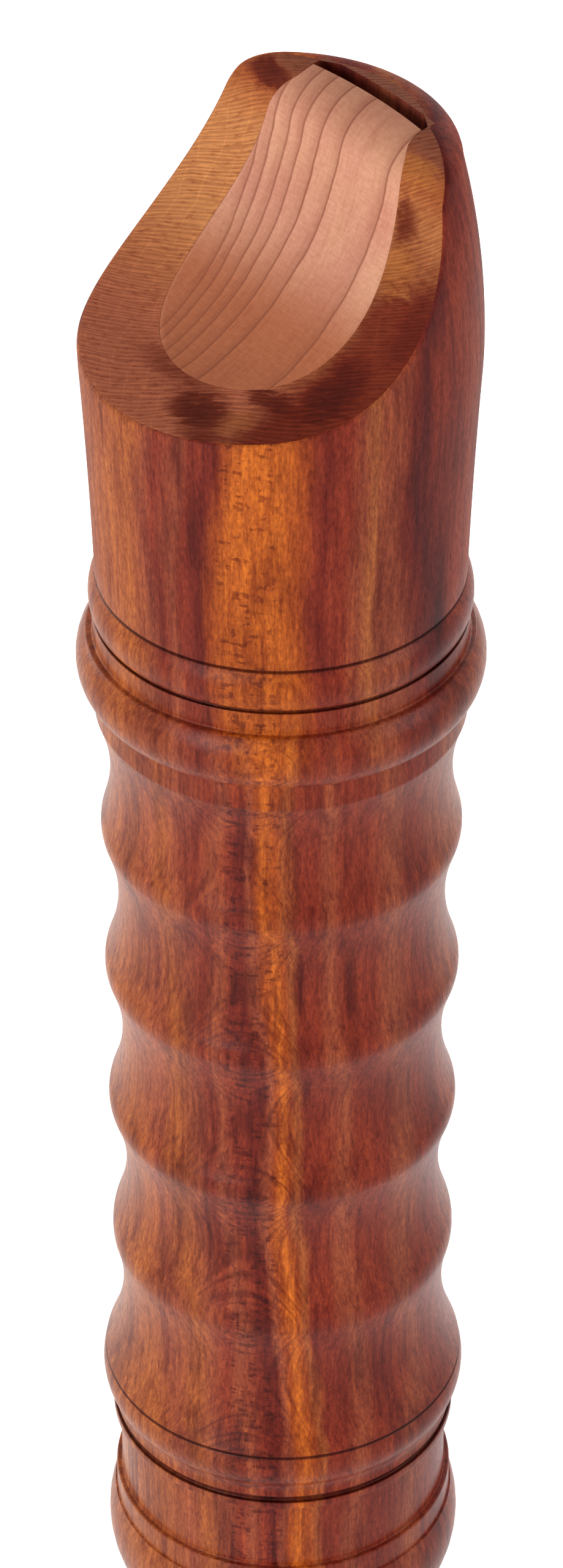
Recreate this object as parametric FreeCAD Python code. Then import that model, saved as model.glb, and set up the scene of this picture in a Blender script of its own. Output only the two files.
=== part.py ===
import FreeCAD, Part
import math
import os

from FreeCAD import Vector

# An alto recorder in three joints, standing on its foot. Millimetres, +Z up along the bore.
# The window and the finger holes face -Y, the thumb hole and the scooped beak face +Y.

# Cutting tools run past what they cut by this much
overrun = 6.0

# Fits between pieces that are taken apart by hand
cork_clearance = 0.08
tenon_clearance = 0.30
tenon_end_gap = 0.30
block_clearance = 0.08

# Foot joint, stacked from the floor up
foot_end_radius = 14.4
foot_bead_height = 10.0
foot_bead_radius = 16.6
foot_bead_top_radius = 15.9
foot_step = 0.5
foot_bell_height = 20.0
foot_low_valley_radius = 12.8
foot_low_crest_radius = 14.4
foot_high_valley_radius = 13.6
foot_high_crest_radius = 15.4
foot_neck_radius = 14.5
foot_ring_height = 10.5
foot_ring_radius = 17.0
foot_ring_lower_radius = 16.2
foot_top_radius = 15.9
foot_socket_radius = 11.2
foot_socket_depth = 20.0
foot_bore_top_radius = 7.3
foot_bore_end_radius = 6.2
foot_bore_straight_length = 16.0
foot_mouth_chamfer = 0.6

# Middle joint
middle_length = 202.0
middle_top_radius = 15.2
middle_low_radius = 13.4
middle_edge_round = 0.8
middle_bore_top_radius = 10.4
middle_bore_low_radius = 7.6

# Corks glued round the two tenons
upper_cork_length = 16.0
upper_cork_thickness = 1.0
lower_cork_length = 11.0
lower_cork_thickness = 0.9

# Holes for the fingers and the thumb, as places along the middle joint from its top
hole_radius = 3.05
hole_place_shares = (0.130, 0.275, 0.420, 0.605, 0.745)
hole_size_shares = (0.95, 1.04, 0.98, 1.04, 1.06)
thumb_hole_radius = 2.8
thumb_place_share = 0.095
pair_place_share = 0.895
pair_spacing = 5.0
pair_large_radius = 1.9
pair_small_radius = 1.5
foot_pair_drop = 26.5

# Head joint, stacked from its lower end up
socket_radius = 13.6
socket_depth = 28.0
socket_bead_height = 11.2
socket_bead_radius = 18.6
socket_end_radius = 16.1
socket_bead_top_radius = 17.95
quirk_height = 2.9
quirk_radius = 17.75
band_height = 8.75
band_radius = 17.15
fillet_height = 0.9
fillet_radius = 17.9
fillet_groove_height = 0.7
fillet_groove_radius = 17.45
cavetto_height = 2.45
cavetto_foot_radius = 17.75
lower_bead_height = 3.9
lower_bead_foot_radius = 18.4
lower_bead_radius = 18.85
lower_bead_top_radius = 18.6
flare_height = 7.1
flare_valley_radius = 16.7
flare_crest_rise = 9.55
wave_pitch = 17.2
wave_count = 4
low_crest_radius = 17.56
high_crest_radius = 17.78
low_valley_radius = 16.0
high_valley_radius = 16.35
neck_radius = 16.8
neck_drop = 6.1
neck_crest_drop = 8.5
collar_band_height = 3.2
collar_band_radius = 18.15
collar_height = 5.7
collar_foot_radius = 18.9
collar_radius = 19.87
collar_top_radius = 18.85
ledge_height = 2.4
ledge_radius = 18.2
score_height = 0.4
score_depth = 0.35
small_bead_height = 4.3
small_bead_radius = 18.5
barrel_base_radius = 17.85
barrel_flare_height = 23.2
barrel_flare_mid_radius = 18.28
barrel_radius = 18.92
barrel_turn_height = 6.0
barrel_turn_rise = 0.06
shoulder_radius = 18.9
ogive_height = 15.35
ogive_mid_radius = 18.2
tip_radius = 16.75
tip_round = 2.9

# Scooped beak: the cut runs from the crown over the lip, down the scoop and out at the heel
crown_offset = 11.2
crown_round_radius = 4.8
crown_slope = 18.0
lip_round_radius = 5.3
face_slope = 78.0
scoop_radius = 22.3
heel_slope = 9.0

# Bore of the head, its windway, window and labium
head_bore_radius = 11.25
windway_length = 29.0
windway_arch_radius = 65.0
windway_floor = 10.25
windway_entry_height = 1.6
windway_exit_height = 1.05
windway_entry_width = 15.6
windway_exit_width = 13.2
block_exit_chamfer = 0.6
window_height = 4.6
labium_step = 0.45
labium_thickness = 0.4
labium_ramp_length = 13.2
undercut_length = 10.0

# How far the rounding of a crest reaches towards the valley below it and the one above it
crest_under_share = 0.09
crest_over_share = 0.21
# Where a valley lies between two crests, and where the lowest bead is widest, counted upwards
valley_place_share = 0.54
bead_belly_share = 0.6
half_share = 0.5


class Outline:
    """A turned profile, drawn as radius and height in the plane through the axis."""

    def __init__(self, radius, height):
        self.start = Vector(radius, 0, height)
        self.end = self.start
        self.edges = []

    def line(self, radius, height):
        after = Vector(radius, 0, height)
        self.edges.append(Part.makeLine(self.end, after))
        self.end = after

    def bow(self, through, radius, height):
        """A long cove or flare: the parabola that passes through a point on the way."""
        after = Vector(radius, 0, height)
        t = (through[1] - self.end.z) / (height - self.end.z)
        ends = self.end * (1 - t) ** 2 + after * t ** 2
        pull = (Vector(through[0], 0, through[1]) - ends) * (1 / (2 * t * (1 - t)))
        curve = Part.BezierCurve()
        curve.setPoles([self.end, pull, after])
        self.edges.append(curve.toShape())
        self.end = after

    def arc(self, through, radius, height):
        """A bead or a rounding."""
        after = Vector(radius, 0, height)
        middle = Vector(through[0], 0, through[1])
        self.edges.append(Part.Arc(self.end, middle, after).toShape())
        self.end = after

    def solid(self):
        """Closes the profile along the axis and turns it."""
        top = Vector(0, 0, self.end.z)
        bottom = Vector(0, 0, self.start.z)
        closing = [Part.makeLine(self.end, top), Part.makeLine(top, bottom)]
        closing.append(Part.makeLine(bottom, self.start))
        face = Part.Face(Part.Wire(self.edges + closing))
        return face.revolve(Vector(0, 0, 0), Vector(0, 0, 1), 360)


def between(low, high, share):
    return low + (high - low) * share


def cylinder(radius, low, high):
    return Part.makeCylinder(radius, high - low, Vector(0, 0, low))


def cone(low_radius, high_radius, low, high):
    return Part.makeCone(low_radius, high_radius, high - low, Vector(0, 0, low))


def radial_hole(radius, x, z, reach, side):
    """A drill that runs from the axis out through one wall."""
    return Part.makeCylinder(radius, reach, Vector(x, 0, z), Vector(0, side, 0))


def waves(outline, turns, end):
    """Draws a long cove through each valley and rounds the crest between two coves.
    turns goes valley, crest, valley and so on, each as radius and height."""
    for index in range(0, len(turns), 2):
        valley = turns[index]
        if index + 1 == len(turns):
            outline.bow(valley, end[0], end[1])
            return
        crest = turns[index + 1]
        after = turns[index + 2]
        under = [between(crest[k], valley[k], crest_under_share) for k in (0, 1)]
        over = [between(crest[k], after[k], crest_over_share) for k in (0, 1)]
        outline.bow(valley, under[0], under[1])
        outline.arc(crest, over[0], over[1])


# Heights of the three joints above the floor
foot_wave_pitch = wave_pitch
foot_bell_top = foot_bead_height + foot_bell_height
foot_high_valley_height = foot_bell_top + foot_wave_pitch
foot_neck_height = foot_high_valley_height + foot_wave_pitch
foot_ring_bottom = foot_neck_height + foot_wave_pitch * half_share
foot_top = foot_ring_bottom + foot_ring_height
foot_socket_floor = foot_top - foot_socket_depth
lower_tenon_end = foot_socket_floor + tenon_end_gap
lower_tenon_radius = foot_socket_radius - tenon_clearance
lower_cork_radius = foot_socket_radius - cork_clearance

middle_top = foot_top + middle_length
socket_floor = middle_top + socket_depth
upper_tenon_end = socket_floor - tenon_end_gap
upper_tenon_radius = socket_radius - tenon_clearance
upper_cork_radius = socket_radius - cork_clearance

head_bottom = middle_top
quirk_bottom = head_bottom + socket_bead_height
band_bottom = quirk_bottom + quirk_height
fillet_bottom = band_bottom + band_height
fillet_groove_bottom = fillet_bottom + fillet_height
cavetto_bottom = fillet_groove_bottom + fillet_groove_height
lower_bead_bottom = cavetto_bottom + cavetto_height
flare_bottom = lower_bead_bottom + lower_bead_height
first_valley_height = flare_bottom + flare_height
first_crest_height = first_valley_height + flare_crest_rise
last_crest_height = first_crest_height + wave_pitch * (wave_count - 1)
neck_low = last_crest_height + neck_crest_drop
collar_band_bottom = neck_low + neck_drop
collar_bottom = collar_band_bottom + collar_band_height
ledge_bottom = collar_bottom + collar_height
score_bottom = ledge_bottom + ledge_height
small_bead_bottom = score_bottom + score_height
barrel_bottom = small_bead_bottom + small_bead_height
barrel_turn_bottom = barrel_bottom + barrel_flare_height
ogive_bottom = barrel_turn_bottom + barrel_turn_height
tip_round_bottom = ogive_bottom + ogive_height
head_top = tip_round_bottom + tip_round

block_end = head_top - windway_length
labium_edge = block_end - window_height
ramp_bottom = labium_edge - labium_ramp_length
undercut_bottom = labium_edge - undercut_length
widest_radius = collar_radius + overrun


def foot_outline():
    outline = Outline(foot_end_radius, 0)
    bead_middle = foot_bead_height * half_share
    outline.arc((foot_bead_radius, bead_middle), foot_bead_top_radius, foot_bead_height)
    outline.line(foot_bead_top_radius - foot_step, foot_bead_height)
    low_crest_height = between(foot_bell_top, foot_high_valley_height, half_share)
    high_crest_height = between(foot_high_valley_height, foot_neck_height, half_share)
    turns = [(foot_low_valley_radius, foot_bell_top), (foot_low_crest_radius, low_crest_height)]
    turns.append((foot_high_valley_radius, foot_high_valley_height))
    turns.append((foot_high_crest_radius, high_crest_height))
    turns.append((foot_neck_radius, foot_neck_height))
    waves(outline, turns, (foot_ring_lower_radius - foot_step, foot_ring_bottom))
    outline.line(foot_ring_lower_radius, foot_ring_bottom)
    ring_middle = between(foot_ring_bottom, foot_top, half_share)
    outline.arc((foot_ring_radius, ring_middle), foot_top_radius, foot_top)
    return outline


def make_foot():
    solid = foot_outline().solid()
    solid = solid.cut(cylinder(foot_socket_radius, foot_socket_floor, foot_top + overrun))
    straight = cylinder(foot_bore_end_radius, -overrun, foot_bore_straight_length)
    taper = cone(foot_bore_end_radius, foot_bore_top_radius, foot_bore_straight_length, foot_socket_floor)
    solid = solid.cut(straight.fuse(taper))
    mouth_radius = foot_bore_end_radius + foot_mouth_chamfer
    solid = solid.cut(cone(mouth_radius, foot_bore_end_radius, 0, foot_mouth_chamfer))
    for drill in hole_pair(foot_top - foot_pair_drop, foot_ring_radius):
        solid = solid.cut(drill)
    return solid


def hole_pair(height, reach):
    """Two small holes side by side, the larger one towards +X."""
    offset = pair_spacing * half_share
    large = radial_hole(pair_large_radius, offset, height, reach + overrun, -1)
    small = radial_hole(pair_small_radius, -offset, height, reach + overrun, -1)
    return [large, small]


def tenon_cork_span(low, high, length):
    """The cork sits in the middle of its tenon."""
    middle = between(low, high, half_share)
    return middle - length * half_share, middle + length * half_share


upper_cork_span = tenon_cork_span(middle_top, upper_tenon_end, upper_cork_length)
lower_cork_span = tenon_cork_span(lower_tenon_end, foot_top, lower_cork_length)


def cork_ring(outer_radius, thickness, span):
    ring = cylinder(outer_radius, span[0], span[1])
    return ring.cut(cylinder(outer_radius - thickness, span[0] - overrun, span[1] + overrun))


def make_middle():
    outline = Outline(lower_tenon_radius, lower_tenon_end)
    lower_seat_radius = lower_cork_radius - lower_cork_thickness
    upper_seat_radius = upper_cork_radius - upper_cork_thickness
    outline.line(lower_tenon_radius, lower_cork_span[0])
    outline.line(lower_seat_radius, lower_cork_span[0])
    outline.line(lower_seat_radius, lower_cork_span[1])
    outline.line(lower_tenon_radius, lower_cork_span[1])
    outline.line(lower_tenon_radius, foot_top)
    outline.line(middle_low_radius - middle_edge_round, foot_top)
    outline.line(middle_low_radius, foot_top + middle_edge_round)
    outline.line(middle_top_radius, middle_top - middle_edge_round)
    outline.line(middle_top_radius - middle_edge_round, middle_top)
    outline.line(upper_tenon_radius, middle_top)
    outline.line(upper_tenon_radius, upper_cork_span[0])
    outline.line(upper_seat_radius, upper_cork_span[0])
    outline.line(upper_seat_radius, upper_cork_span[1])
    outline.line(upper_tenon_radius, upper_cork_span[1])
    outline.line(upper_tenon_radius, upper_tenon_end)
    solid = outline.solid()
    bore = cone(middle_bore_low_radius, middle_bore_top_radius, lower_tenon_end, upper_tenon_end)
    solid = solid.cut(bore)
    for place, size in zip(hole_place_shares, hole_size_shares):
        height = between(middle_top, foot_top, place)
        solid = solid.cut(radial_hole(hole_radius * size, 0, height, middle_top_radius + overrun, -1))
    thumb_height = between(middle_top, foot_top, thumb_place_share)
    solid = solid.cut(radial_hole(thumb_hole_radius, 0, thumb_height, middle_top_radius + overrun, 1))
    for drill in hole_pair(between(middle_top, foot_top, pair_place_share), middle_top_radius):
        solid = solid.cut(drill)
    return solid


def head_outline():
    outline = Outline(socket_end_radius, head_bottom)
    belly = between(head_bottom, quirk_bottom, bead_belly_share)
    outline.arc((socket_bead_radius, belly), socket_bead_top_radius, quirk_bottom)
    outline.line(quirk_radius, quirk_bottom)
    outline.line(quirk_radius, band_bottom)
    outline.line(band_radius, band_bottom)
    outline.line(band_radius, fillet_bottom)
    outline.line(fillet_radius, fillet_bottom)
    outline.line(fillet_radius, fillet_groove_bottom)
    outline.line(fillet_groove_radius, fillet_groove_bottom)
    outline.line(fillet_groove_radius, cavetto_bottom)
    outline.line(cavetto_foot_radius, cavetto_bottom)
    cavetto_middle = between(cavetto_bottom, lower_bead_bottom, half_share)
    outline.arc((cavetto_foot_radius, cavetto_middle), lower_bead_foot_radius, lower_bead_bottom)
    bead_middle = between(lower_bead_bottom, flare_bottom, half_share)
    outline.arc((lower_bead_radius, bead_middle), lower_bead_top_radius, flare_bottom)
    turns = [(flare_valley_radius, first_valley_height)]
    for index in range(wave_count):
        share = index / (wave_count - 1)
        crest_height = first_crest_height + wave_pitch * index
        turns.append((between(low_crest_radius, high_crest_radius, share), crest_height))
        if index < wave_count - 1:
            valley_radius = between(low_valley_radius, high_valley_radius, share)
            turns.append((valley_radius, crest_height + wave_pitch * valley_place_share))
    turns.append((neck_radius, neck_low))
    waves(outline, turns, (collar_band_radius, collar_band_bottom))
    outline.line(collar_band_radius, collar_bottom)
    outline.line(collar_foot_radius, collar_bottom)
    collar_middle = between(collar_bottom, ledge_bottom, half_share)
    outline.arc((collar_radius, collar_middle), collar_top_radius, ledge_bottom)
    outline.line(ledge_radius, ledge_bottom)
    outline.line(ledge_radius, score_bottom)
    outline.line(ledge_radius - score_depth, score_bottom)
    outline.line(ledge_radius - score_depth, small_bead_bottom)
    outline.line(ledge_radius, small_bead_bottom)
    bead_middle = between(small_bead_bottom, barrel_bottom, half_share)
    outline.arc((small_bead_radius, bead_middle), barrel_base_radius, barrel_bottom)
    flare_middle = between(barrel_bottom, barrel_turn_bottom, half_share)
    outline.bow((barrel_flare_mid_radius, flare_middle), barrel_radius, barrel_turn_bottom)
    turn_middle = between(barrel_turn_bottom, ogive_bottom, half_share)
    outline.arc((barrel_radius + barrel_turn_rise, turn_middle), shoulder_radius, ogive_bottom)
    ogive_middle = between(ogive_bottom, tip_round_bottom, half_share)
    outline.bow((ogive_mid_radius, ogive_middle), tip_radius, tip_round_bottom)
    corner = tip_round * math.sin(math.radians(45))
    through = (tip_radius - tip_round + corner, tip_round_bottom + corner)
    outline.arc(through, tip_radius - tip_round, head_top)
    return outline


def swing(start, radius, slope_from, slope_to, bulge):
    """An arc down the beak between two slopes. bulge is 1 where it is round, -1 where hollow."""
    middle_slope = between(slope_from, slope_to, half_share)
    points = []
    for slope in (middle_slope, slope_to):
        a, b = math.radians(slope_from), math.radians(slope)
        along = radius * (math.sin(b) - math.sin(a)) * bulge
        down = radius * (math.cos(a) - math.cos(b)) * bulge
        points.append(Vector(0, start.y + along, start.z - down))
    return Part.Arc(start, points[0], points[1]).toShape(), points[1]


def beak_cutter():
    """Everything above the beak's cut, which is hollow along Y and straight across X."""
    crown = Vector(0, -crown_offset, head_top)
    crown_arc, lip = swing(crown, crown_round_radius, 0, crown_slope, 1)
    lip_arc, face = swing(lip, lip_round_radius, crown_slope, face_slope, 1)
    scoop_arc, heel = swing(face, scoop_radius, face_slope, heel_slope, -1)
    run = widest_radius - heel.y
    out = Vector(0, widest_radius, heel.z - run * math.tan(math.radians(heel_slope)))
    above = Vector(0, widest_radius, head_top + overrun)
    back = Vector(0, -crown_offset, head_top + overrun)
    edges = [crown_arc, lip_arc, scoop_arc, Part.makeLine(heel, out), Part.makeLine(out, above)]
    edges += [Part.makeLine(above, back), Part.makeLine(back, crown)]
    face = Part.Face(Part.Wire(edges))
    face.translate(Vector(-widest_radius, 0, 0))
    return face.extrude(Vector(widest_radius + widest_radius, 0, 0))


def arched_section(height, half_width, level, inner):
    """A section across the windway with an arched outer side, at one height."""
    rise = windway_arch_radius - math.sqrt(windway_arch_radius ** 2 - half_width ** 2)
    corners = [Vector(-half_width, -inner, height), Vector(-half_width, -level, height)]
    corners += [Vector(half_width, -level, height), Vector(half_width, -inner, height)]
    arch = Part.Arc(corners[1], Vector(0, -level - rise, height), corners[2]).toShape()
    sides = [Part.makeLine(corners[0], corners[1]), Part.makeLine(corners[2], corners[3])]
    return Part.Wire([sides[0], arch, sides[1], Part.makeLine(corners[3], corners[0])])


def windway_half_width(height):
    share = (height - block_end) / windway_length
    return between(windway_exit_width, windway_entry_width, share) * half_share


def windway_roof(height):
    share = (height - block_end) / windway_length
    return windway_floor + between(windway_exit_height, windway_entry_height, share)


def loft(low_section, high_section):
    return Part.makeLoft([low_section, high_section], True, True)


# The windway's tools reach in to this distance from the axis, well inside the bore
channel_inner = head_bore_radius * half_share


def windway_cutter():
    """The channel in the head, from above the tip down to the labium's edge."""
    sections = []
    for height in (block_end, head_top + overrun):
        half_width = windway_half_width(height)
        sections.append(arched_section(height, half_width, windway_roof(height), channel_inner))
    return loft(sections[0], sections[1])


def window_cutter():
    """The window: straight out through the wall between the windway's exit and the labium."""
    half_width = windway_exit_width * half_share
    reach = widest_radius - channel_inner
    corner = Vector(-half_width, -widest_radius, labium_edge)
    return Part.makeBox(windway_exit_width, reach, window_height, corner)


def undercut_cutter():
    """The hollow under the labium, which fades out into the bore below it."""
    half_width = windway_exit_width * half_share
    fade_level = math.sqrt(head_bore_radius ** 2 - half_width ** 2)
    level = windway_floor + labium_step
    low_section = arched_section(undercut_bottom, half_width, fade_level - labium_step, channel_inner)
    high_section = arched_section(labium_edge, half_width, level, channel_inner)
    return loft(low_section, high_section)


def ramp_cutter():
    """The sloping face that thins the wall to the labium's edge, arched like the windway."""
    half_width = windway_exit_width * half_share
    edge_level = windway_floor + labium_step + labium_thickness
    outer_level = barrel_flare_mid_radius
    slope = (outer_level - edge_level) / labium_ramp_length
    low = ramp_bottom - overrun
    low_level = edge_level + slope * (labium_edge - low)
    outside = widest_radius + overrun
    low_section = arched_section(low, half_width, low_level, outside)
    high_section = arched_section(labium_edge, half_width, edge_level, outside)
    return loft(low_section, high_section)


def make_head():
    solid = head_outline().solid()
    solid = solid.cut(cylinder(head_bore_radius, head_bottom - overrun, head_top + overrun))
    solid = solid.cut(cylinder(socket_radius, head_bottom - overrun, socket_floor))
    solid = solid.cut(windway_cutter())
    solid = solid.cut(window_cutter())
    solid = solid.cut(undercut_cutter())
    solid = solid.cut(ramp_cutter())
    return solid.cut(beak_cutter())


def make_block():
    """The block: a plug in the bore whose flat tongue is the windway's floor."""
    high = head_top + overrun
    plug = cylinder(head_bore_radius - block_clearance, block_end, high)
    tongue, channel = [], []
    for height in (block_end, high):
        half_width = windway_half_width(height) - block_clearance
        tongue.append(arched_section(height, half_width, windway_floor, 0))
        channel.append(arched_section(height, half_width, head_bore_radius + overrun, channel_inner))
    solid = plug.cut(loft(channel[0], channel[1])).fuse(loft(tongue[0], tongue[1]))
    return solid.cut(exit_chamfer_cutter()).cut(beak_cutter()).removeSplitter()


def exit_chamfer_cutter():
    """Eases the edge where the breath leaves the windway's floor."""
    level = windway_floor - block_exit_chamfer
    reach = widest_radius - level
    corners = [Vector(0, -level, block_end), Vector(0, -widest_radius, block_end + reach)]
    corners.append(Vector(0, -widest_radius, block_end - overrun))
    corners.append(Vector(0, -level, block_end - overrun))
    face = Part.Face(Part.makePolygon(corners + corners[:1]))
    face.translate(Vector(-widest_radius, 0, 0))
    return face.extrude(Vector(widest_radius + widest_radius, 0, 0))


def save(shape, name):
    shape.exportStep(os.path.join("parts", name + ".step"))
    box = shape.BoundBox
    print(name, "solids", len(shape.Solids), "valid", shape.isValid(), "volume", round(shape.Volume))
    print("   z %.2f to %.2f, width %.2f by %.2f" % (box.ZMin, box.ZMax, box.XLength, box.YLength))


def main():
    os.makedirs("parts", exist_ok=True)
    save(make_foot(), "foot_joint")
    save(make_middle(), "middle_joint")
    save(cork_ring(lower_cork_radius, lower_cork_thickness, lower_cork_span), "lower_tenon_cork")
    save(cork_ring(upper_cork_radius, upper_cork_thickness, upper_cork_span), "upper_tenon_cork")
    save(make_head(), "head_joint")
    save(make_block(), "block")


main()
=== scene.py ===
import math

import bmesh
import bpy
import numpy as np
from bpy.props import FloatProperty, FloatVectorProperty, IntProperty, PointerProperty
from mathutils import Matrix, Vector


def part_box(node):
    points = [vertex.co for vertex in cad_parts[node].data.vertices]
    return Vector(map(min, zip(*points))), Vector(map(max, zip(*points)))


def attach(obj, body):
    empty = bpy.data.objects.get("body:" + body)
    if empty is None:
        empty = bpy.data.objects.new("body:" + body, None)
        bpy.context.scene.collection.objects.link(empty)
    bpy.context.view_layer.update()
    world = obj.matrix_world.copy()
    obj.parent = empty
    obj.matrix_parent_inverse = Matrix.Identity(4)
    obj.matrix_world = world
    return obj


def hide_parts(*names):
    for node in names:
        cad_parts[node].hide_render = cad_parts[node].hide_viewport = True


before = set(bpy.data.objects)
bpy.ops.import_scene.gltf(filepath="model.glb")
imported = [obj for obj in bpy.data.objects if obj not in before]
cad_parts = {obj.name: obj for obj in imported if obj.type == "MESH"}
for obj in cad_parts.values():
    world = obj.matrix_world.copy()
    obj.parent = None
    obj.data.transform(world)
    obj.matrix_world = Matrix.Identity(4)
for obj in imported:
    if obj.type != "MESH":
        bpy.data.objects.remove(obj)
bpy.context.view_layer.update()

bl_info = {
    "name": "Alto Recorder",
    "version": (1, 0, 0),
    "blender": (4, 5, 0),
    "location": "View3D > Sidebar > Recorder",
    "description": "Turns, bores, stains and sets up a three-piece alto recorder",
    "category": "Add Mesh",
}

# Sizes in this script are millimetres, and millimetre takes them to the scene's metres
millimetre = 0.001


def node_span(node):
    """The heights of a frame node's lower and upper end."""
    low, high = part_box(node)
    return low.z / millimetre, high.z / millimetre


def node_radius(node):
    low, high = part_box(node)
    return (high.x - low.x) / millimetre / 2


foot_top = node_span("foot_joint")[1]
middle_bottom, middle_end = node_span("middle_joint")
head_bottom, head_top = node_span("head_joint")
middle_top = head_bottom
block_end = node_span("block")[0]

# Head joint: the turned outline, from its lower end up
socket_radius = 13.6
socket_depth = 28.0
socket_mouth_chamfer = 0.5
socket_end_radius = 16.1
socket_bead_height = 11.2
socket_bead_radius = 18.6
socket_bead_top_radius = 17.95
bead_belly_share = 0.6
quirk_height = 2.9
quirk_radius = 17.75
band_height = 8.75
band_radius = 17.15
fillet_height = 0.9
fillet_radius = 17.9
fillet_groove_height = 0.7
fillet_groove_radius = 17.45
cavetto_height = 2.45
cavetto_foot_radius = 17.75
lower_bead_height = 3.9
lower_bead_foot_radius = 18.4
lower_bead_radius = 18.85
lower_bead_top_radius = 18.6
flare_height = 7.1
flare_valley_radius = 16.7
flare_crest_rise = 9.55
wave_pitch = 17.2
wave_count = 4
low_crest_radius = 17.56
high_crest_radius = 17.78
low_valley_radius = 16.0
high_valley_radius = 16.35
valley_place_share = 0.54
crest_under_share = 0.09
crest_over_share = 0.21
neck_radius = 16.8
neck_drop = 6.1
neck_crest_drop = 8.5
collar_band_height = 3.2
collar_band_radius = 18.15
collar_height = 5.7
collar_foot_radius = 18.9
collar_radius = node_radius("head_joint") - 0.002
collar_top_radius = 18.85
ledge_height = 2.4
ledge_radius = 18.2
score_height = 0.4
score_depth = 0.35
small_bead_height = 4.3
small_bead_radius = 18.5
barrel_base_radius = 17.85
nick_height = 0.3
nick_depth = 0.22
barrel_flare_height = 23.2
barrel_flare_mid_radius = 18.28
barrel_radius = 18.92
barrel_turn_height = 6.0
barrel_turn_rise = 0.06
shoulder_radius = 18.9
ogive_height = 15.35
ogive_mid_radius = 18.2
tip_radius = 16.75
tip_round = 2.9

# Beak: the cut from the crown over the lip, down the scoop and out at the heel
crown_offset = 11.2
crown_round_radius = 4.8
crown_slope = 18.0
lip_round_radius = 5.3
face_slope = 78.0
scoop_radius = 22.3
heel_slope = 9.0

# Bore, windway, window and labium
head_bore_radius = 11.25
windway_arch_radius = 65.0
windway_floor = 10.25
windway_entry_height = 1.6
windway_exit_height = 1.05
windway_entry_width = 15.6
windway_exit_width = 13.2
block_exit_chamfer = 0.6
block_edge = 0.03
window_height = 4.6
labium_step = 0.45
labium_thickness = 0.4
labium_ramp_length = 13.2
undercut_length = 10.0

# The corners between the channel's walls and the bore are eased outwards towards the tip
corner_lift = 0.42
corner_spread = 0.22
corner_bottom = 449.0
corner_rise = 8.0

# Middle joint
tenon_clearance = 0.3
upper_tenon_radius = socket_radius - tenon_clearance
foot_socket_radius = 11.2
lower_tenon_radius = foot_socket_radius - tenon_clearance
upper_cork_thickness = 1.0
lower_cork_thickness = 0.9
cork_crown = 0.05
middle_top_radius = 15.2
middle_low_radius = 13.4
middle_bore_top_radius = 10.4
middle_bore_low_radius = 7.6
hole_radius = 3.05
hole_place_shares = (0.130, 0.275, 0.420, 0.605, 0.745)
hole_size_shares = (0.95, 1.04, 0.98, 1.04, 1.06)
thumb_hole_radius = 2.8
thumb_place_share = 0.095
pair_place_share = 0.895
pair_spacing = 5.0
pair_large_radius = 1.9
pair_small_radius = 1.5

# Foot joint
foot_pair_drop = 26.5
foot_socket_depth = 20.0
foot_end_radius = 14.4
foot_bead_height = 10.0
foot_bead_radius = 16.6
foot_bead_top_radius = 15.9
foot_step = 0.5
foot_bell_height = 20.0
foot_low_valley_radius = 12.8
foot_low_crest_radius = 14.4
foot_high_valley_radius = 13.6
foot_high_crest_radius = 15.4
foot_neck_radius = 14.5
foot_ring_radius = 17.0
foot_ring_lower_radius = 16.2
foot_top_radius = 15.9
foot_bore_top_radius = 7.3
foot_bore_end_radius = 6.2
foot_bore_straight_length = 16.0

# How far a cutter runs past what it cuts, and the steps that draw a curved stretch
overrun = 6.0
curve_steps = 9
dense_steps = 240
barrel_rows = 56
seat_rows = 12
hole_steps = 48
corner_angle = math.radians(11)
crisp_angle = math.radians(38)
same_place = 1e-4
small_step = 0.01

# Materials of the turned pieces, by their place among the head's
turned_band, cut_band, bored_band = range(3)

# The photograph's camera, from the axis of the recorder
camera_azimuth = math.radians(141.2)
camera_reach = 469.26
camera_height = 737.1
camera_pitch = math.radians(36.58)
camera_roll = math.radians(-0.126)
camera_lens = 136.7
camera_sensor = 36.0

# Turn that takes x across the front that the camera sees, left to right, and y towards it
front_turn = 1.5 * math.pi - camera_azimuth


def between(low, high, share=0.5):
    return low + (high - low) * share


def tone(code):
    """A colour written as six sRGB digits, as the scene's linear red, green and blue."""
    parts = [int(code[i:i + 2], 16) / 255 for i in (0, 2, 4)]
    return tuple(p / 12.92 if p < 0.04045 else ((p + 0.055) / 1.055) ** 2.4 for p in parts)


def size_property(label, text, size):
    return FloatProperty(name=label, description=text, default=size * millimetre, unit="LENGTH")


def colour_property(label, text, code):
    return FloatVectorProperty(name=label, description=text, default=tone(code), size=3,
                               min=0, max=1, subtype="COLOR")


class RecorderSizes(bpy.types.PropertyGroup):
    """Sizes of the dressed pieces that a user may change."""
    columns: IntProperty(name="Columns", description="Facets round a turned piece",
                         default=216, min=48, max=400)
    edge: size_property("Turned edge", "Rounding left on a turned edge", 0.16)
    beak_edge: size_property("Beak edge", "Rounding along the cut of the beak", 0.42)
    block_gap: size_property("Block gap", "Hairline joint round the block", 0.015)
    hole_round: size_property("Hole rounding", "Easing of the finger holes", 0.35)


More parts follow.
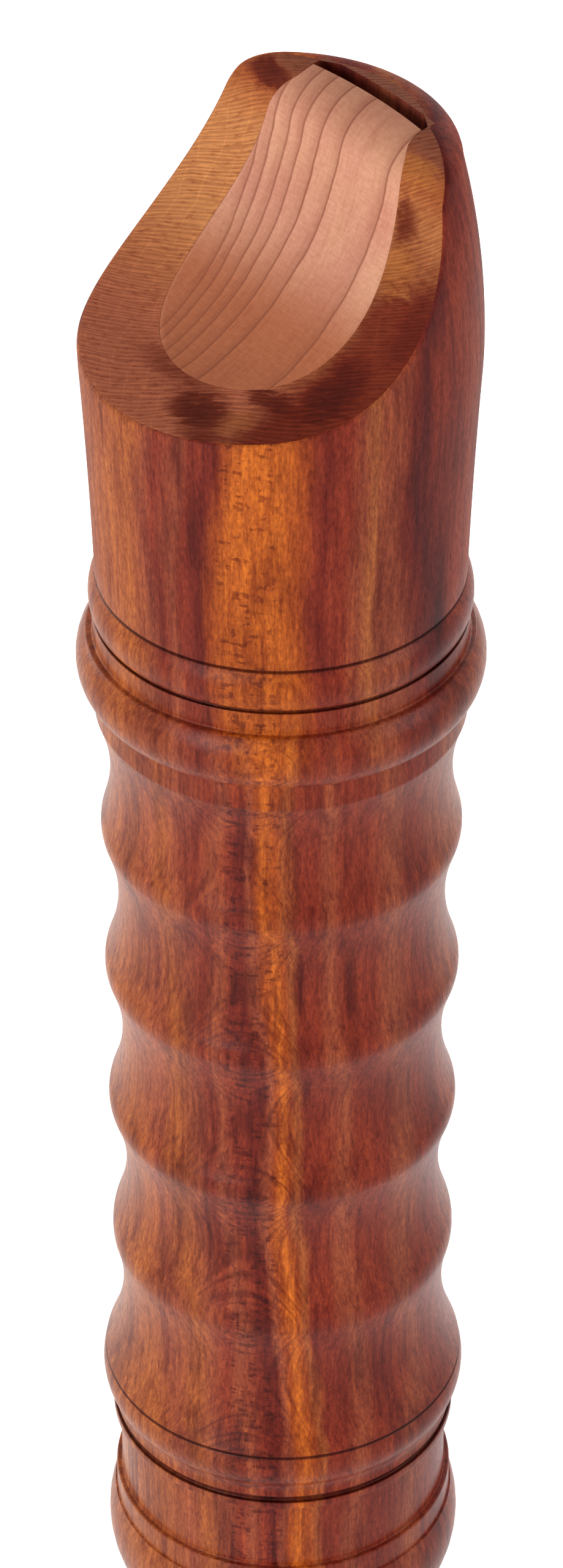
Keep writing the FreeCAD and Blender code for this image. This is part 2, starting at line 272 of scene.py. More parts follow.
class RecorderColours(bpy.types.PropertyGroup):
    """Colours of the woods and the cork."""
    gold: colour_property("Gold streak", "Brightest streak in the turned wood", "c06022")
    amber: colour_property("Amber wood", "Wood beside the gold streak", "a0461e")
    tan: colour_property("Tan wood", "Lighter bands of the turned wood", "a2542c")
    honey: colour_property("Honey streak", "Light streak down the waves", "a45a34")
    auburn: colour_property("Auburn wood", "Lighter bands on the waves", "964830")
    red: colour_property("Red wood", "Body colour of the turned wood", "843020")
    russet: colour_property("Russet wood", "Deep red bands of the turned wood", "6e2218")
    umber: colour_property("Dark streak", "Darkest purple-brown streaks", "561614")
    end_light: colour_property("Cut wood", "Light end grain on the beak's cut", "c4804e")
    end_gold: colour_property("Cut wood, gold", "Golden patches of the beak's cut", "b06a36")
    end_brown: colour_property("Cut wood, brown", "Lower part of the beak's cut", "b46c44")
    end_red: colour_property("Cut wood, red", "Heel of the beak's cut", "b06448")
    end_deep: colour_property("Cut wood, deep", "Right side of the beak's cut", "6e2414")
    end_dark: colour_property("Cut wood, dark", "Dark patches of the beak's cut", "40100a")
    crown: colour_property("Crown", "Brown wood at the top of the beak", "8a4e38")
    cedar: colour_property("Block wood", "Body colour of the block", "e0a282")
    cedar_pink: colour_property("Block wood, pink", "Pinker parts of the block", "d8947a")
    cedar_low: colour_property("Block wood, low", "Deeper colour low on the block", "bc6e4a")
    cedar_line: colour_property("Block lines", "Growth lines of the block", "8c4a34")
    cork: colour_property("Cork", "Cork on the tenons", "c09468")
    cork_grain: colour_property("Cork grain", "Darker grains of the cork", "a87a50")
    cork_cell: colour_property("Cork cells", "Edges of the cork's cells", "7c5434")
    cork_speck: colour_property("Cork specks", "Dark specks in the cork", "4a2d1a")
    floor: colour_property("Floor", "Plain floor and backdrop", "f2f2f0")


def sizes():
    return bpy.context.scene.recorder_sizes


def colours():
    return bpy.context.scene.recorder_colours


def run_lengths(run):
    """The distance along a run of points at each of them."""
    steps = np.linalg.norm(np.diff(run, axis=0), axis=1)
    return np.concatenate([[0], np.cumsum(steps)])


def on_run(run, place):
    """Radius and height at a distance along a run."""
    lengths = run_lengths(run)
    return np.array([np.interp(place, lengths, run[:, k]) for k in (0, 1)])


def parabola(start, pull, end, share):
    """The curve from start to end that leans towards pull."""
    return (1 - share) ** 2 * start + 2 * share * (1 - share) * pull + share * share * end


class Turning:
    """A turned outline drawn as runs of radius and height."""

    def __init__(self, radius, height, steps=curve_steps):
        self.runs = []
        self.end = np.array((radius, height), float)
        self.shares = np.arange(steps + 1)[:, None] / steps

    def add(self, run, end):
        self.runs.append(np.array(run, float))
        self.end = np.array(end, float)

    def lines(self, *ends):
        for end in ends:
            self.add([self.end, end], end)

    def bands(self, *bands):
        """Straight bands, each a radius that is held from one height to another."""
        for radius, low, high in bands:
            self.lines((radius, low), (radius, high))

    def even_line(self, radius, height):
        """A straight run with points along it."""
        end = np.array((radius, height))
        self.add(between(self.end, end, self.shares), end)

    def bow(self, through, end):
        """A long cove or flare: the parabola that passes through a point on the way."""
        through, end = np.array([through, end])
        t = (through[1] - self.end[1]) / (end[1] - self.end[1])
        pull = (through - self.end * (1 - t) ** 2 - end * t ** 2) / (2 * t * (1 - t))
        self.add(parabola(self.end, pull, end, self.shares), end)

    def arc(self, through, end):
        """A rounding: the circle through a point on the way."""
        a, b, c = self.end, np.array(through), np.array(end)
        square = 0.5 * np.array([b @ b - a @ a, c @ c - a @ a])
        middle = np.linalg.solve(np.array([b - a, c - a]), square)
        first, last = [math.atan2(*(p - middle)[::-1]) for p in (a, c)]
        turn = (last - first + math.pi) % (2 * math.pi) - math.pi
        angles = first + turn * self.shares
        swing = np.hstack([np.cos(angles), np.sin(angles)])
        self.add(middle + math.dist(a, middle) * swing, end)

    def bead(self, radius, end, share=0.5):
        """A bead with its belly at a share of its height."""
        self.arc((radius, between(self.end[1], end[1], share)), end)

    def nicked_bead(self, radius, top_radius, top):
        """A bead with a fine groove turned under its upper end."""
        self.arc((radius, between(self.end[1], top)), (top_radius, top - nick_height))
        self.lines((top_radius - nick_depth, top - nick_height / 2), (top_radius, top))

    def waves(self, turns, end):
        """A long cove through each valley, and a rounding over the crest between two coves.
        turns goes valley, crest, valley and so on, each as radius and height."""
        turns = np.array(turns)
        for valley, crest, after in zip(turns[::2], turns[1::2], turns[2::2]):
            self.bow(valley, between(crest, valley, crest_under_share))
            self.arc(crest, between(crest, after, crest_over_share))
        self.bow(turns[-1], end)


def corner_cut(before, after, ease):
    """How much a corner takes from the two runs that meet there, or nothing where they flow on."""
    a, b = before[-1] - before[-2], after[1] - after[0]
    if abs(math.atan2(a[0] * b[1] - a[1] * b[0], a @ b)) < corner_angle:
        return 0.0
    return min(ease, 0.3 * run_lengths(before)[-1], 0.3 * run_lengths(after)[-1])


def eased(runs, ease, closed=False):
    """Joins the runs into one outline and rounds each crisp corner with a small curve."""
    cuts = [corner_cut(runs[i - 1], run, ease) for i, run in enumerate(runs)]
    cuts[0] *= closed
    cuts.append(cuts[0])
    outline = []
    for i, run in enumerate(runs):
        lengths = run_lengths(run)
        low, high = cuts[i], lengths[-1] - cuts[i + 1]
        places = [low, high]
        for cut, support in ((cuts[i], low + cuts[i]), (cuts[i + 1], high - cuts[i + 1])):
            if cut and low < support < high:
                places.append(support)
        for place in lengths[1:-1]:
            if all(abs(place - other) > 0.25 * ease for other in places):
                places.append(place)
        outline += [on_run(run, place) for place in sorted(places)]
        if cuts[i + 1]:
            start, end = outline[-1], on_run(runs[(i + 1) % len(runs)], cuts[i + 1])
            outline += [parabola(start, run[-1], end, share) for share in (0.33, 0.67)]
    kept = [outline[0]]
    for point in outline[1:]:
        if math.dist(point, kept[-1]) > same_place:
            kept.append(point)
    if closed and math.dist(kept[0], kept[-1]) < same_place:
        kept.pop()
    return np.array(kept)


# Heights of the head's turning, stacked from its lower end
quirk_bottom = head_bottom + socket_bead_height
band_bottom = quirk_bottom + quirk_height
fillet_bottom = band_bottom + band_height
fillet_groove_bottom = fillet_bottom + fillet_height
cavetto_bottom = fillet_groove_bottom + fillet_groove_height
lower_bead_bottom = cavetto_bottom + cavetto_height
flare_bottom = lower_bead_bottom + lower_bead_height
first_valley_height = flare_bottom + flare_height
first_crest_height = first_valley_height + flare_crest_rise
last_crest_height = first_crest_height + wave_pitch * (wave_count - 1)
neck_low = last_crest_height + neck_crest_drop
collar_band_bottom = neck_low + neck_drop
collar_bottom = collar_band_bottom + collar_band_height
ledge_bottom = collar_bottom + collar_height
score_bottom = ledge_bottom + ledge_height
small_bead_bottom = score_bottom + score_height
barrel_bottom = small_bead_bottom + small_bead_height
barrel_turn_bottom = barrel_bottom + barrel_flare_height
ogive_bottom = barrel_turn_bottom + barrel_turn_height
tip_round_bottom = ogive_bottom + ogive_height
labium_edge = block_end - window_height
channel_bottom = block_end - labium_step
bore_bottom = head_bottom + socket_depth
widest_radius = collar_radius + overrun


def head_turning():
    """The head from the top of its bore down, round the socket and up the outside to the barrel."""
    outline = Turning(head_bore_radius, channel_bottom - labium_step)
    outline.even_line(head_bore_radius, bore_bottom)
    outline.lines((socket_radius, bore_bottom))
    outline.even_line(socket_radius, head_bottom + socket_mouth_chamfer)
    outline.lines((socket_radius + socket_mouth_chamfer, head_bottom),
                  (socket_end_radius, head_bottom))
    outline.bead(socket_bead_radius, (socket_bead_top_radius, quirk_bottom), bead_belly_share)
    outline.bands((quirk_radius, quirk_bottom, band_bottom),
                  (band_radius, band_bottom, fillet_bottom),
                  (fillet_radius, fillet_bottom, fillet_groove_bottom),
                  (fillet_groove_radius, fillet_groove_bottom, cavetto_bottom))
    outline.lines((cavetto_foot_radius, cavetto_bottom))
    outline.bead(cavetto_foot_radius, (lower_bead_foot_radius, lower_bead_bottom))
    outline.nicked_bead(lower_bead_radius, lower_bead_top_radius, flare_bottom)
    turns = [(flare_valley_radius, first_valley_height)]
    for index in range(wave_count):
        share = index / (wave_count - 1)
        height = first_crest_height + wave_pitch * index
        turns += [(between(low_crest_radius, high_crest_radius, share), height),
                  (between(low_valley_radius, high_valley_radius, share),
                   height + wave_pitch * valley_place_share)]
    turns[-1] = (neck_radius, neck_low)
    outline.waves(turns, (collar_band_radius, collar_band_bottom))
    outline.lines((collar_band_radius, collar_bottom), (collar_foot_radius, collar_bottom))
    outline.bead(collar_radius, (collar_top_radius, ledge_bottom))
    outline.bands((ledge_radius, ledge_bottom, score_bottom),
                  (ledge_radius - score_depth, score_bottom, small_bead_bottom))
    outline.lines((ledge_radius, small_bead_bottom))
    outline.nicked_bead(small_bead_radius, barrel_base_radius, barrel_bottom)
    return outline


def barrel_turning():
    """The barrel and its tip, drawn finely, because the cut of the beak falls anywhere on it."""
    outline = Turning(barrel_base_radius, barrel_bottom, dense_steps)
    outline.bow((barrel_flare_mid_radius, between(barrel_bottom, barrel_turn_bottom)),
                (barrel_radius, barrel_turn_bottom))
    outline.bead(barrel_radius + barrel_turn_rise, (shoulder_radius, ogive_bottom))
    outline.bow((ogive_mid_radius, between(ogive_bottom, tip_round_bottom)),
                (tip_radius, tip_round_bottom))
    inner = tip_radius - tip_round
    corner = tip_round * math.sqrt(0.5)
    outline.arc((inner + corner, tip_round_bottom + corner), (inner, head_top))
    return outline


class Beak:
    """The cut of the beak seen from the side: height and distance along it for each y."""

    def __init__(self):
        points = [(-widest_radius, head_top), (-crown_offset, head_top)]
        for radius, slope_from, slope_to in ((crown_round_radius, 0, crown_slope),
                                             (lip_round_radius, crown_slope, face_slope),
                                             (-scoop_radius, face_slope, heel_slope)):
            y, z = points[-1]
            a = math.radians(slope_from)
            for i in range(1, dense_steps + 1):
                b = math.radians(between(slope_from, slope_to, i / dense_steps))
                points.append((y + radius * (math.sin(b) - math.sin(a)),
                               z - radius * (math.cos(a) - math.cos(b))))
        y, z = points[-1]
        fall = (widest_radius - y) * math.tan(math.radians(heel_slope))
        points.append((widest_radius, z - fall))
        self.y, self.z = np.array(points).T
        self.along = run_lengths(points)

    def height(self, y):
        return np.interp(y, self.y, self.z)

    def distance(self, y):
        return np.interp(y, self.y, self.along)

    def at(self, x, distance):
        """Points on the cut, from places across it and distances along it."""
        sides = [np.interp(distance, self.along, side) for side in (self.y, self.z)]
        return np.stack([x, *sides], axis=-1)

    def direction(self, y):
        rise = (self.height(y + small_step) - self.height(y - small_step)) / (2 * small_step)
        return unit(np.stack([np.zeros_like(y), np.ones_like(y), rise], axis=-1))


beak = Beak()


def windway_size(exit_size, entry_size, height):
    """A size of the windway at a height, on its way from the exit up to the entry."""
    share = (height - block_end) / (head_top - block_end)
    return between(exit_size, entry_size, np.clip(share, 0, None))


def arch_rise(x, half_width):
    """How far the windway's arch stands above its springing."""
    return (np.sqrt(windway_arch_radius ** 2 - x ** 2)
            - np.sqrt(windway_arch_radius ** 2 - half_width ** 2))


class Keyhole:
    """The opening that the block fills: a round bore with the windway's channel at the front.
    Each column keeps its stretch of the outline, roof, side wall or bore, at every height.
    Without a roof it is the block's own outline, which ends at the windway's floor."""

    def __init__(self, columns, roofed=True, inset=0.0):
        self.roofed, self.inset = roofed, inset
        half, roof, wall = columns // 2, columns // 15, columns // 30
        counts = (roof, wall, half - roof - wall)
        stretch = np.repeat((0, 0, 1, 2), (1, *counts))
        share = np.concatenate([[0]] + [np.arange(1, count + 1) / count for count in counts])
        share[stretch == 2] = self.even_shares(share[stretch == 2])
        self.stretch, self.share = mirrored(stretch), mirrored(share)
        self.side = np.where(np.arange(columns) > half, -1, 1)

    def even_shares(self, shares):
        """Shares of the round part that are evenly spaced along the cut of the beak."""
        first = math.asin(windway_entry_width / 2 / head_bore_radius)
        angles = np.linspace(first, math.pi, dense_steps * 4)
        bore_heights = beak.height(-head_bore_radius * np.cos(angles))
        lengths = run_lengths(ring(head_bore_radius, angles, bore_heights))
        places = np.interp(shares * lengths[-1], lengths, angles)
        return (places - first) / (math.pi - first)

    def plan(self, height):
        """x and y of each column at its own height."""
        half_width = windway_size(windway_exit_width, windway_entry_width, height) / 2 - self.inset
        level = windway_floor
        if self.roofed:
            level = level + windway_size(windway_exit_height, windway_entry_height, height)
        radius = head_bore_radius - self.inset
        first = np.arcsin(half_width / radius)
        angle = first + (math.pi - first) * self.share
        lift = corner_lift * np.clip((height - corner_bottom) / corner_rise, 0, 1)
        bore = radius + lift * np.exp((first - angle) / corner_spread)
        roof = half_width * self.share
        x = (roof, half_width + lift * np.sin(first) * self.share ** 2, bore * np.sin(angle))
        y = (level + arch_rise(roof, half_width),
             between(level, (radius + lift) * np.cos(first), self.share), bore * np.cos(angle))
        return np.choose(self.stretch, x) * self.side, -np.choose(self.stretch, y)

    def settle(self):
        """x, y and z of each column where the outline meets the cut of the beak."""
        height = np.full(len(self.share), head_top)
        for _ in range(12):
            x, y = self.plan(height)
            height = beak.height(y)
        return x, y, height


def mirrored(half):
    """Values for one half of a ring, from the front to the back, carried on round the other."""
    return np.concatenate([half, half[-2:0:-1]])


def ring(radius, angle, height):
    """Points round the bore, at angles counted from the front."""
    parts = np.broadcast_arrays(radius * np.sin(angle), -radius * np.cos(angle), height)
    return np.stack(parts, axis=-1)


def unit(vectors):
    return vectors / np.linalg.norm(vectors, axis=-1, keepdims=True)


def dot(a, b):
    return np.sum(a * b, axis=-1)


def face_outwards(mesh):
    shape = bmesh.new()
    shape.from_mesh(mesh)
    bmesh.ops.recalc_face_normals(shape, faces=shape.faces)
    shape.to_mesh(mesh)
    shape.free()


def add_object(name, data):
    item = bpy.data.objects.new(name, data)
    bpy.context.scene.collection.objects.link(item)
    return item


def new_piece(name, rows, bands=0, capped=True, smooth=True):
    """A mesh object from rows of points, in millimetres, that run round it. The first and the
    last row are capped, or else join. bands gives a material to each row of faces, or to all."""
    index = np.arange(len(rows) * len(rows[0])).reshape(len(rows), -1)
    below, above = (index[:-1], index[1:]) if capped else (index, np.roll(index, -1, axis=0))
    quads = [below, np.roll(below, -1, axis=1), np.roll(above, -1, axis=1), above]
    faces = np.stack(quads, axis=-1).reshape(-1, 4).tolist()
    if capped:
        faces += [index[0].tolist(), index[-1].tolist()]
    mesh = bpy.data.meshes.new(name)
    mesh.from_pydata((np.concatenate(rows) * millimetre).tolist(), [], faces)
    bands = np.resize(np.repeat(bands, len(rows[0])), len(faces))
    mesh.polygons.foreach_set("material_index", bands)
    mesh.polygons.foreach_set("use_smooth", [smooth] * len(faces))
    face_outwards(mesh)
    return add_object(name, mesh)


def plain_mesh(piece):
    """Replaces the piece's mesh with its evaluated result and clears its modifiers."""
    depsgraph = bpy.context.evaluated_depsgraph_get()
    mesh = bpy.data.meshes.new_from_object(piece.evaluated_get(depsgraph))
    mesh.name = piece.name
    piece.modifiers.clear()
    piece.data = mesh


def cut_away(piece, cutters):
    """Cuts the piece with each cutter in turn and sharpens the edges that this leaves."""
    for cutter in cutters:
        for material in piece.data.materials:
            cutter.data.materials.append(material)
        modifier = piece.modifiers.new("cut", "BOOLEAN")
        modifier.operation = "DIFFERENCE"
        modifier.solver = "EXACT"
        modifier.object = cutter
        plain_mesh(piece)
        bpy.data.objects.remove(cutter)
    piece.data.set_sharp_from_angle(angle=crisp_angle)


def barrel_points(barrel, angle, length):
    radius, height = on_run(barrel, length)
    return ring(radius, angle, height)


def rim_of_beak(barrel, columns):
    """The line where the beak's cut leaves the turned surface, as angles and profile lengths
    for each column, evenly spaced from the front round to the heel."""
    angles = np.linspace(0, math.pi, dense_steps * 80)
    low, high = np.zeros_like(angles), np.full_like(angles, run_lengths(barrel)[-1])
    for _ in range(48):
        middle = (low + high) / 2
        radius, height = on_run(barrel, middle)
        above = height > beak.height(-radius * np.cos(angles))
        low, high = np.where(above, low, middle), np.where(above, middle, high)
    travel = run_lengths(barrel_points(barrel, angles, low))
    places = np.linspace(0, travel[-1], columns // 2 + 1)
    angle = mirrored(np.interp(places, travel, angles))
    angle[columns // 2 + 1:] = 2 * math.pi - angle[columns // 2 + 1:]
    return angle, mirrored(np.interp(places, travel, low))


def square_to(tangent, first, second, away):
    """The way square to the tangent in the plane of two directions, pointing against away,
    as its shares of the two and as a vector."""
    a, b = -dot(tangent, second), dot(tangent, first)
    way = a[:, None] * first + b[:, None] * second
    sign = np.where(dot(way, away) > 0, -1, 1)
    return a * sign, b * sign, way * sign[:, None]


def head_rows(columns):
    """Rows of points round the head joint: bore, socket, outside, rim, cut face and windway."""
    lower = eased(head_turning().runs, sizes().edge / millimetre)
    barrel = np.concatenate([run[i > 0:] for i, run in enumerate(barrel_turning().runs)])
    even = np.arange(columns) / columns * 2 * math.pi
    keyhole = Keyhole(columns)
    ease = sizes().beak_edge / millimetre

    # Rim, and the two places beside it where its rounding starts and ends
    angle, length = rim_of_beak(barrel, columns)
    rim = barrel_points(barrel, angle, length)
    tangent = unit(np.roll(rim, -1, axis=0) - np.roll(rim, 1, axis=0))
    up = unit(rim - barrel_points(barrel, angle, length - small_step))
    radial, around = ring(1, angle, 0), ring(1, angle + math.pi / 2, 0)
    along = beak.direction(rim[:, 1])
    across = np.broadcast_to((1.0, 0.0, 0.0), rim.shape)
    aside, ahead, inward = square_to(tangent, across, along, radial)
    rise, swing, _ = square_to(tangent, up, around, np.cross(across, along) + inward)
    start_length = length + ease * rise
    start_angle = angle + ease * swing / np.hypot(rim[:, 0], rim[:, 1])
    start = barrel_points(barrel, start_angle, start_length)
    x = rim[:, 0] + ease * aside
    distance = beak.distance(rim[:, 1]) + ease * ahead
    finish = beak.at(x, distance)

    rows, bands = [], []
    low_x, low_y = keyhole.plan(np.full(columns, channel_bottom))
    low_angle = np.unwrap(np.arctan2(low_x, -low_y))
    for radius, height in lower:
        share = 1.0
        if radius < head_bore_radius + ease and height > bore_bottom + overrun:
            share = (lower[0][1] - height) / (lower[0][1] - bore_bottom)
        rows.append(ring(radius, between(low_angle, even, share), height))
        inside = radius < socket_radius + socket_mouth_chamfer
        bands.append(bored_band if inside else turned_band)

    # Up the barrel, leaning the columns towards their places on the rim
    for i in range(1, barrel_rows + 1):
        share = 1 - (1 - i / barrel_rows) ** 2
        turned = between(even, start_angle, share ** 1.5)
        rows.append(barrel_points(barrel, turned, start_length * share))
    rows += [parabola(start, rim, finish, share) for share in (0.2, 0.4, 0.6, 0.8)]
    bands += [turned_band] * (barrel_rows + 3) + [cut_band]

    # Over the cut face, then down the windway and the block's seat
    hole_x, hole_y, hole_z = keyhole.settle()
    inner = beak.distance(hole_y)
    for share in (0, 0.02, 0.06, *np.linspace(0.11, 1, 22)):
        rows.append(beak.at(between(x, hole_x, share), between(distance, inner, share)))
        bands.append(cut_band)
    bands[-1] = bored_band
    rows += seat(keyhole, hole_z, channel_bottom)
    return rows, bands + [bored_band] * seat_rows


def seat(keyhole, top, bottom):
    """Rows down the opening from the cut of the beak to a level end."""
    rows = []
    for i in range(1, seat_rows + 1):
        height = between(top, bottom, i / seat_rows)
        rows.append(np.stack([*keyhole.plan(height), height], axis=-1))
    return rows


def arched_section(height, half_width, level, inner, steps=24):
    """A section across the windway with an arched outer side, at one height."""
    x = np.linspace(-half_width, half_width, steps + 1)
    arch = [(px, -level - rise, height) for px, rise in zip(x, arch_rise(x, half_width))]
    return [(-half_width, -inner, height), *arch, (half_width, -inner, height)]


def head_cutters():
    """Tools for the window, the ramp down to the labium's edge and the hollow under it."""
    half_width = windway_exit_width / 2
    inner = head_bore_radius / 2
    outside = widest_radius + overrun
    corners = [(-half_width, -inner), (-half_width, -widest_radius),
               (half_width, -widest_radius), (half_width, -inner)]
    window = [[(x, y, height) for x, y in corners] for height in (labium_edge, block_end)]
    over = labium_edge + labium_step
    level = windway_floor + labium_step
    edge_level = level + labium_thickness
    slope = (barrel_flare_mid_radius - edge_level) / labium_ramp_length
    low = labium_edge - labium_ramp_length - overrun
    ramp = [arched_section(low, half_width, edge_level + slope * (labium_edge - low), outside),
            arched_section(over, half_width, edge_level - slope * labium_step, outside)]
    fade_level = math.sqrt(head_bore_radius ** 2 - half_width ** 2)
    rise = (level - fade_level + labium_step) / undercut_length * labium_step
    undercut = [arched_section(labium_edge - undercut_length, half_width,
                               fade_level - labium_step, inner),
                arched_section(over, half_width, level + rise, inner)]
    return [new_piece("window_tool", window, bored_band, smooth=False),
            new_piece("ramp_tool", ramp, turned_band, smooth=False),
            new_piece("undercut_tool", undercut, bored_band, smooth=False)]


def block_rows(columns):
    """Rows of points over the block, from the middle of its face out, down and under."""
    keyhole = Keyhole(columns, roofed=False, inset=sizes().block_gap / millimetre)
    x, y, z = keyhole.settle()
    distance = beak.distance(y)
    centre = between(distance.min(), distance.max())
    rows = []
    for share in np.linspace(0.03, 1, 30):
        reach = share * (1 - block_edge / np.hypot(x, distance - centre))
        rows.append(beak.at(x * reach, centre + (distance - centre) * reach))
    rows.append(np.stack([x, y, z - block_edge], axis=-1))
    rows += seat(keyhole, z - block_edge, block_end)
    return rows + [rows[-1] * (share, share, 1) for share in (0.98, 0.6, 0.1)]


def block_cutter():
    """The tool for the chamfer where the tongue ends under the windway's exit."""
    level = windway_floor - block_exit_chamfer
    side = [(-level, block_end), (-widest_radius, block_end + widest_radius - level),
            (-widest_radius, block_end - overrun), (-level, block_end - overrun)]
    ends = [[(x, y, z) for y, z in side] for x in (-widest_radius, widest_radius)]
    return new_piece("chamfer_tool", ends, smooth=False)


def hole_tool(radius, x, height, side, wall_radius):
    """A drill for a finger hole whose mouth is eased evenly all the way round."""
    ease = sizes().hole_round / millimetre
    rings = [(radius, None)]
    for angle in np.radians(np.linspace(0, 90, 6)):
        rings.append((radius + ease * (1 - math.cos(angle)), -ease * (1 - math.sin(angle))))
    rings += [(radius + ease * 1.6, ease * 0.25), (radius + ease * 1.6, overrun)]
    turns = np.arange(hole_steps) * 2 * math.pi / hole_steps
    rows = []
    for reach, rise in rings:
        px, pz = reach * np.cos(turns) + x, reach * np.sin(turns)
        depth = 0 * px if rise is None else np.sqrt(wall_radius ** 2 - px ** 2) + rise
        rows.append(np.stack([px, side * depth, height + pz], axis=-1))
    return new_piece("hole_tool", rows)


def hole_pair(height, wall_radius):
    """Two small holes side by side, the larger one towards +X."""
    return [hole_tool(radius, x, height, -1, wall_radius) for x, radius in
            ((pair_spacing / 2, pair_large_radius), (-pair_spacing / 2, pair_small_radius))]


def middle_holes():
    """Tools for the finger holes, the thumb hole and the pair."""
    holes = [(place, hole_radius * size, -1)
             for place, size in zip(hole_place_shares, hole_size_shares)]
    tools = []
    for place, radius, side in holes + [(thumb_place_share, thumb_hole_radius, 1)]:
        height, wall = middle_place(place)
        tools.append(hole_tool(radius, 0, height, side, wall))
    return tools + hole_pair(*middle_place(pair_place_share))


def middle_place(share):
    """Height and outside radius at a share of the way down the middle joint."""
    return (between(middle_top, foot_top, share),
            between(middle_top_radius, middle_low_radius, share))


def middle_outline():
    """The middle joint's outline with its two tenons, seats for the corks, and the bore."""
    outline = Turning(middle_bore_low_radius, middle_bottom)
    outline.bands(*tenon("lower", middle_bottom, foot_top))
    outline.lines((middle_low_radius, foot_top))
    outline.even_line(middle_top_radius, middle_top)
    outline.bands(*tenon("upper", middle_top, middle_end))
    outline.lines((middle_bore_top_radius, middle_end))
    outline.even_line(middle_bore_low_radius, middle_bottom)
    return outline


# Each tenon's radius and its cork's thickness
tenons = {"upper": (upper_tenon_radius, upper_cork_thickness),
          "lower": (lower_tenon_radius, lower_cork_thickness)}


def tenon(name, bottom, top):
    """The bands of a tenon with the seat for its cork ring."""
    radius, thickness = tenons[name]
    node = name + "_tenon_cork"
    low, high = node_span(node)
    return (radius, bottom, low), (node_radius(node) - thickness, low, high), (radius, high, top)


def foot_outline():
    """The foot's outline: end bead, bell, two waves, ring, socket and bore."""
    bell_top = foot_bead_height + foot_bell_height
    high_valley_height = bell_top + wave_pitch
    neck_height = high_valley_height + wave_pitch
    ring_bottom = neck_height + wave_pitch / 2
    socket_bottom = foot_top - foot_socket_depth
    outline = Turning(foot_bore_end_radius + foot_step, 0)
    outline.lines((foot_end_radius, 0))
    outline.bead(foot_bead_radius, (foot_bead_top_radius, foot_bead_height))
    outline.lines((foot_bead_top_radius - foot_step, foot_bead_height))
    outline.waves([(foot_low_valley_radius, bell_top),
                   (foot_low_crest_radius, between(bell_top, high_valley_height)),
                   (foot_high_valley_radius, high_valley_height),
                   (foot_high_crest_radius, between(high_valley_height, neck_height)),
                   (foot_neck_radius, neck_height)],
                  (foot_ring_lower_radius - foot_step, ring_bottom))
    outline.lines((foot_ring_lower_radius, ring_bottom))
    outline.bead(foot_ring_radius, (foot_top_radius, foot_top))
    outline.lines((foot_socket_radius, foot_top), (foot_socket_radius, socket_bottom),
                  (foot_bore_top_radius, socket_bottom))
    outline.even_line(foot_bore_end_radius, foot_bore_straight_length)
    outline.lines((foot_bore_end_radius, foot_step), (foot_bore_end_radius + foot_step, 0))
    return outline


def cork_outline(node, thickness):
    """A ring of cork with soft, slightly crowned sides."""
    radius, (low, high) = node_radius(node), node_span(node)
    outline = Turning(radius - thickness, low)
    outline.lines((radius - cork_crown, low))
    outline.bead(radius, (radius - cork_crown, high))
    outline.bands((radius - thickness, high, low))
    return outline


class Value:
    """What a node gives out, with plain arithmetic and ranges."""

    def __init__(self, nodes, socket):
        self.nodes = nodes
        self.socket = socket

    def math(self, operation, *others):
        return self.nodes.value("ShaderNodeMath", (self, *others), operation=operation)

    def __add__(self, other):
        return self.math("ADD", other)

    def __sub__(self, other):
        return self.math("SUBTRACT", other)

    def __mul__(self, other):
        return self.math("MULTIPLY", other)

    def __truediv__(self, other):
        return self.math("DIVIDE", other)

    def span(self, low, high, to_low=0.0, to_high=1.0, smooth=False):
        """Takes the value from one range to another and holds it there."""
        inputs = {"Value": self, "From Min": low, "From Max": high,
                  "To Min": to_low, "To Max": to_high}
        kind = "SMOOTHSTEP" if smooth else "LINEAR"
        return self.nodes.value("ShaderNodeMapRange", inputs, interpolation_type=kind)

    def sway(self, reach):
        """Noise made a shift by up to a reach either way."""
        return self.span(0.3, 0.7, -reach, reach)


class Nodes:
    """Adds nodes to a tree with few words."""

    def __init__(self, tree):
        self.tree = tree

    def give(self, node, name, value):
        socket = node.inputs[name]
        if isinstance(value, Value):
            self.tree.links.new(value.socket, socket)
        else:
            socket.default_value = colour(value) if socket.type == "RGBA" else value

    def add(self, kind, inputs=(), **settings):
        """A node with its settings and its inputs, which go by name or in order."""
        node = self.tree.nodes.new(kind)
        for key, setting in settings.items():
            setattr(node, key, setting)
        for name, value in inputs.items() if isinstance(inputs, dict) else enumerate(inputs):
            self.give(node, name, value)
        return node

    def value(self, kind, inputs=(), out=0, **settings):
        return Value(self, self.add(kind, inputs, **settings).outputs[out])

    def ray(self, kind):
        return self.value("ShaderNodeLightPath", out="Is %s Ray" % kind)


def colour(value):
    """A colour of the property group by its name, or three parts, with full cover."""
    return (*(getattr(colours(), value) if isinstance(value, str) else value), 1)


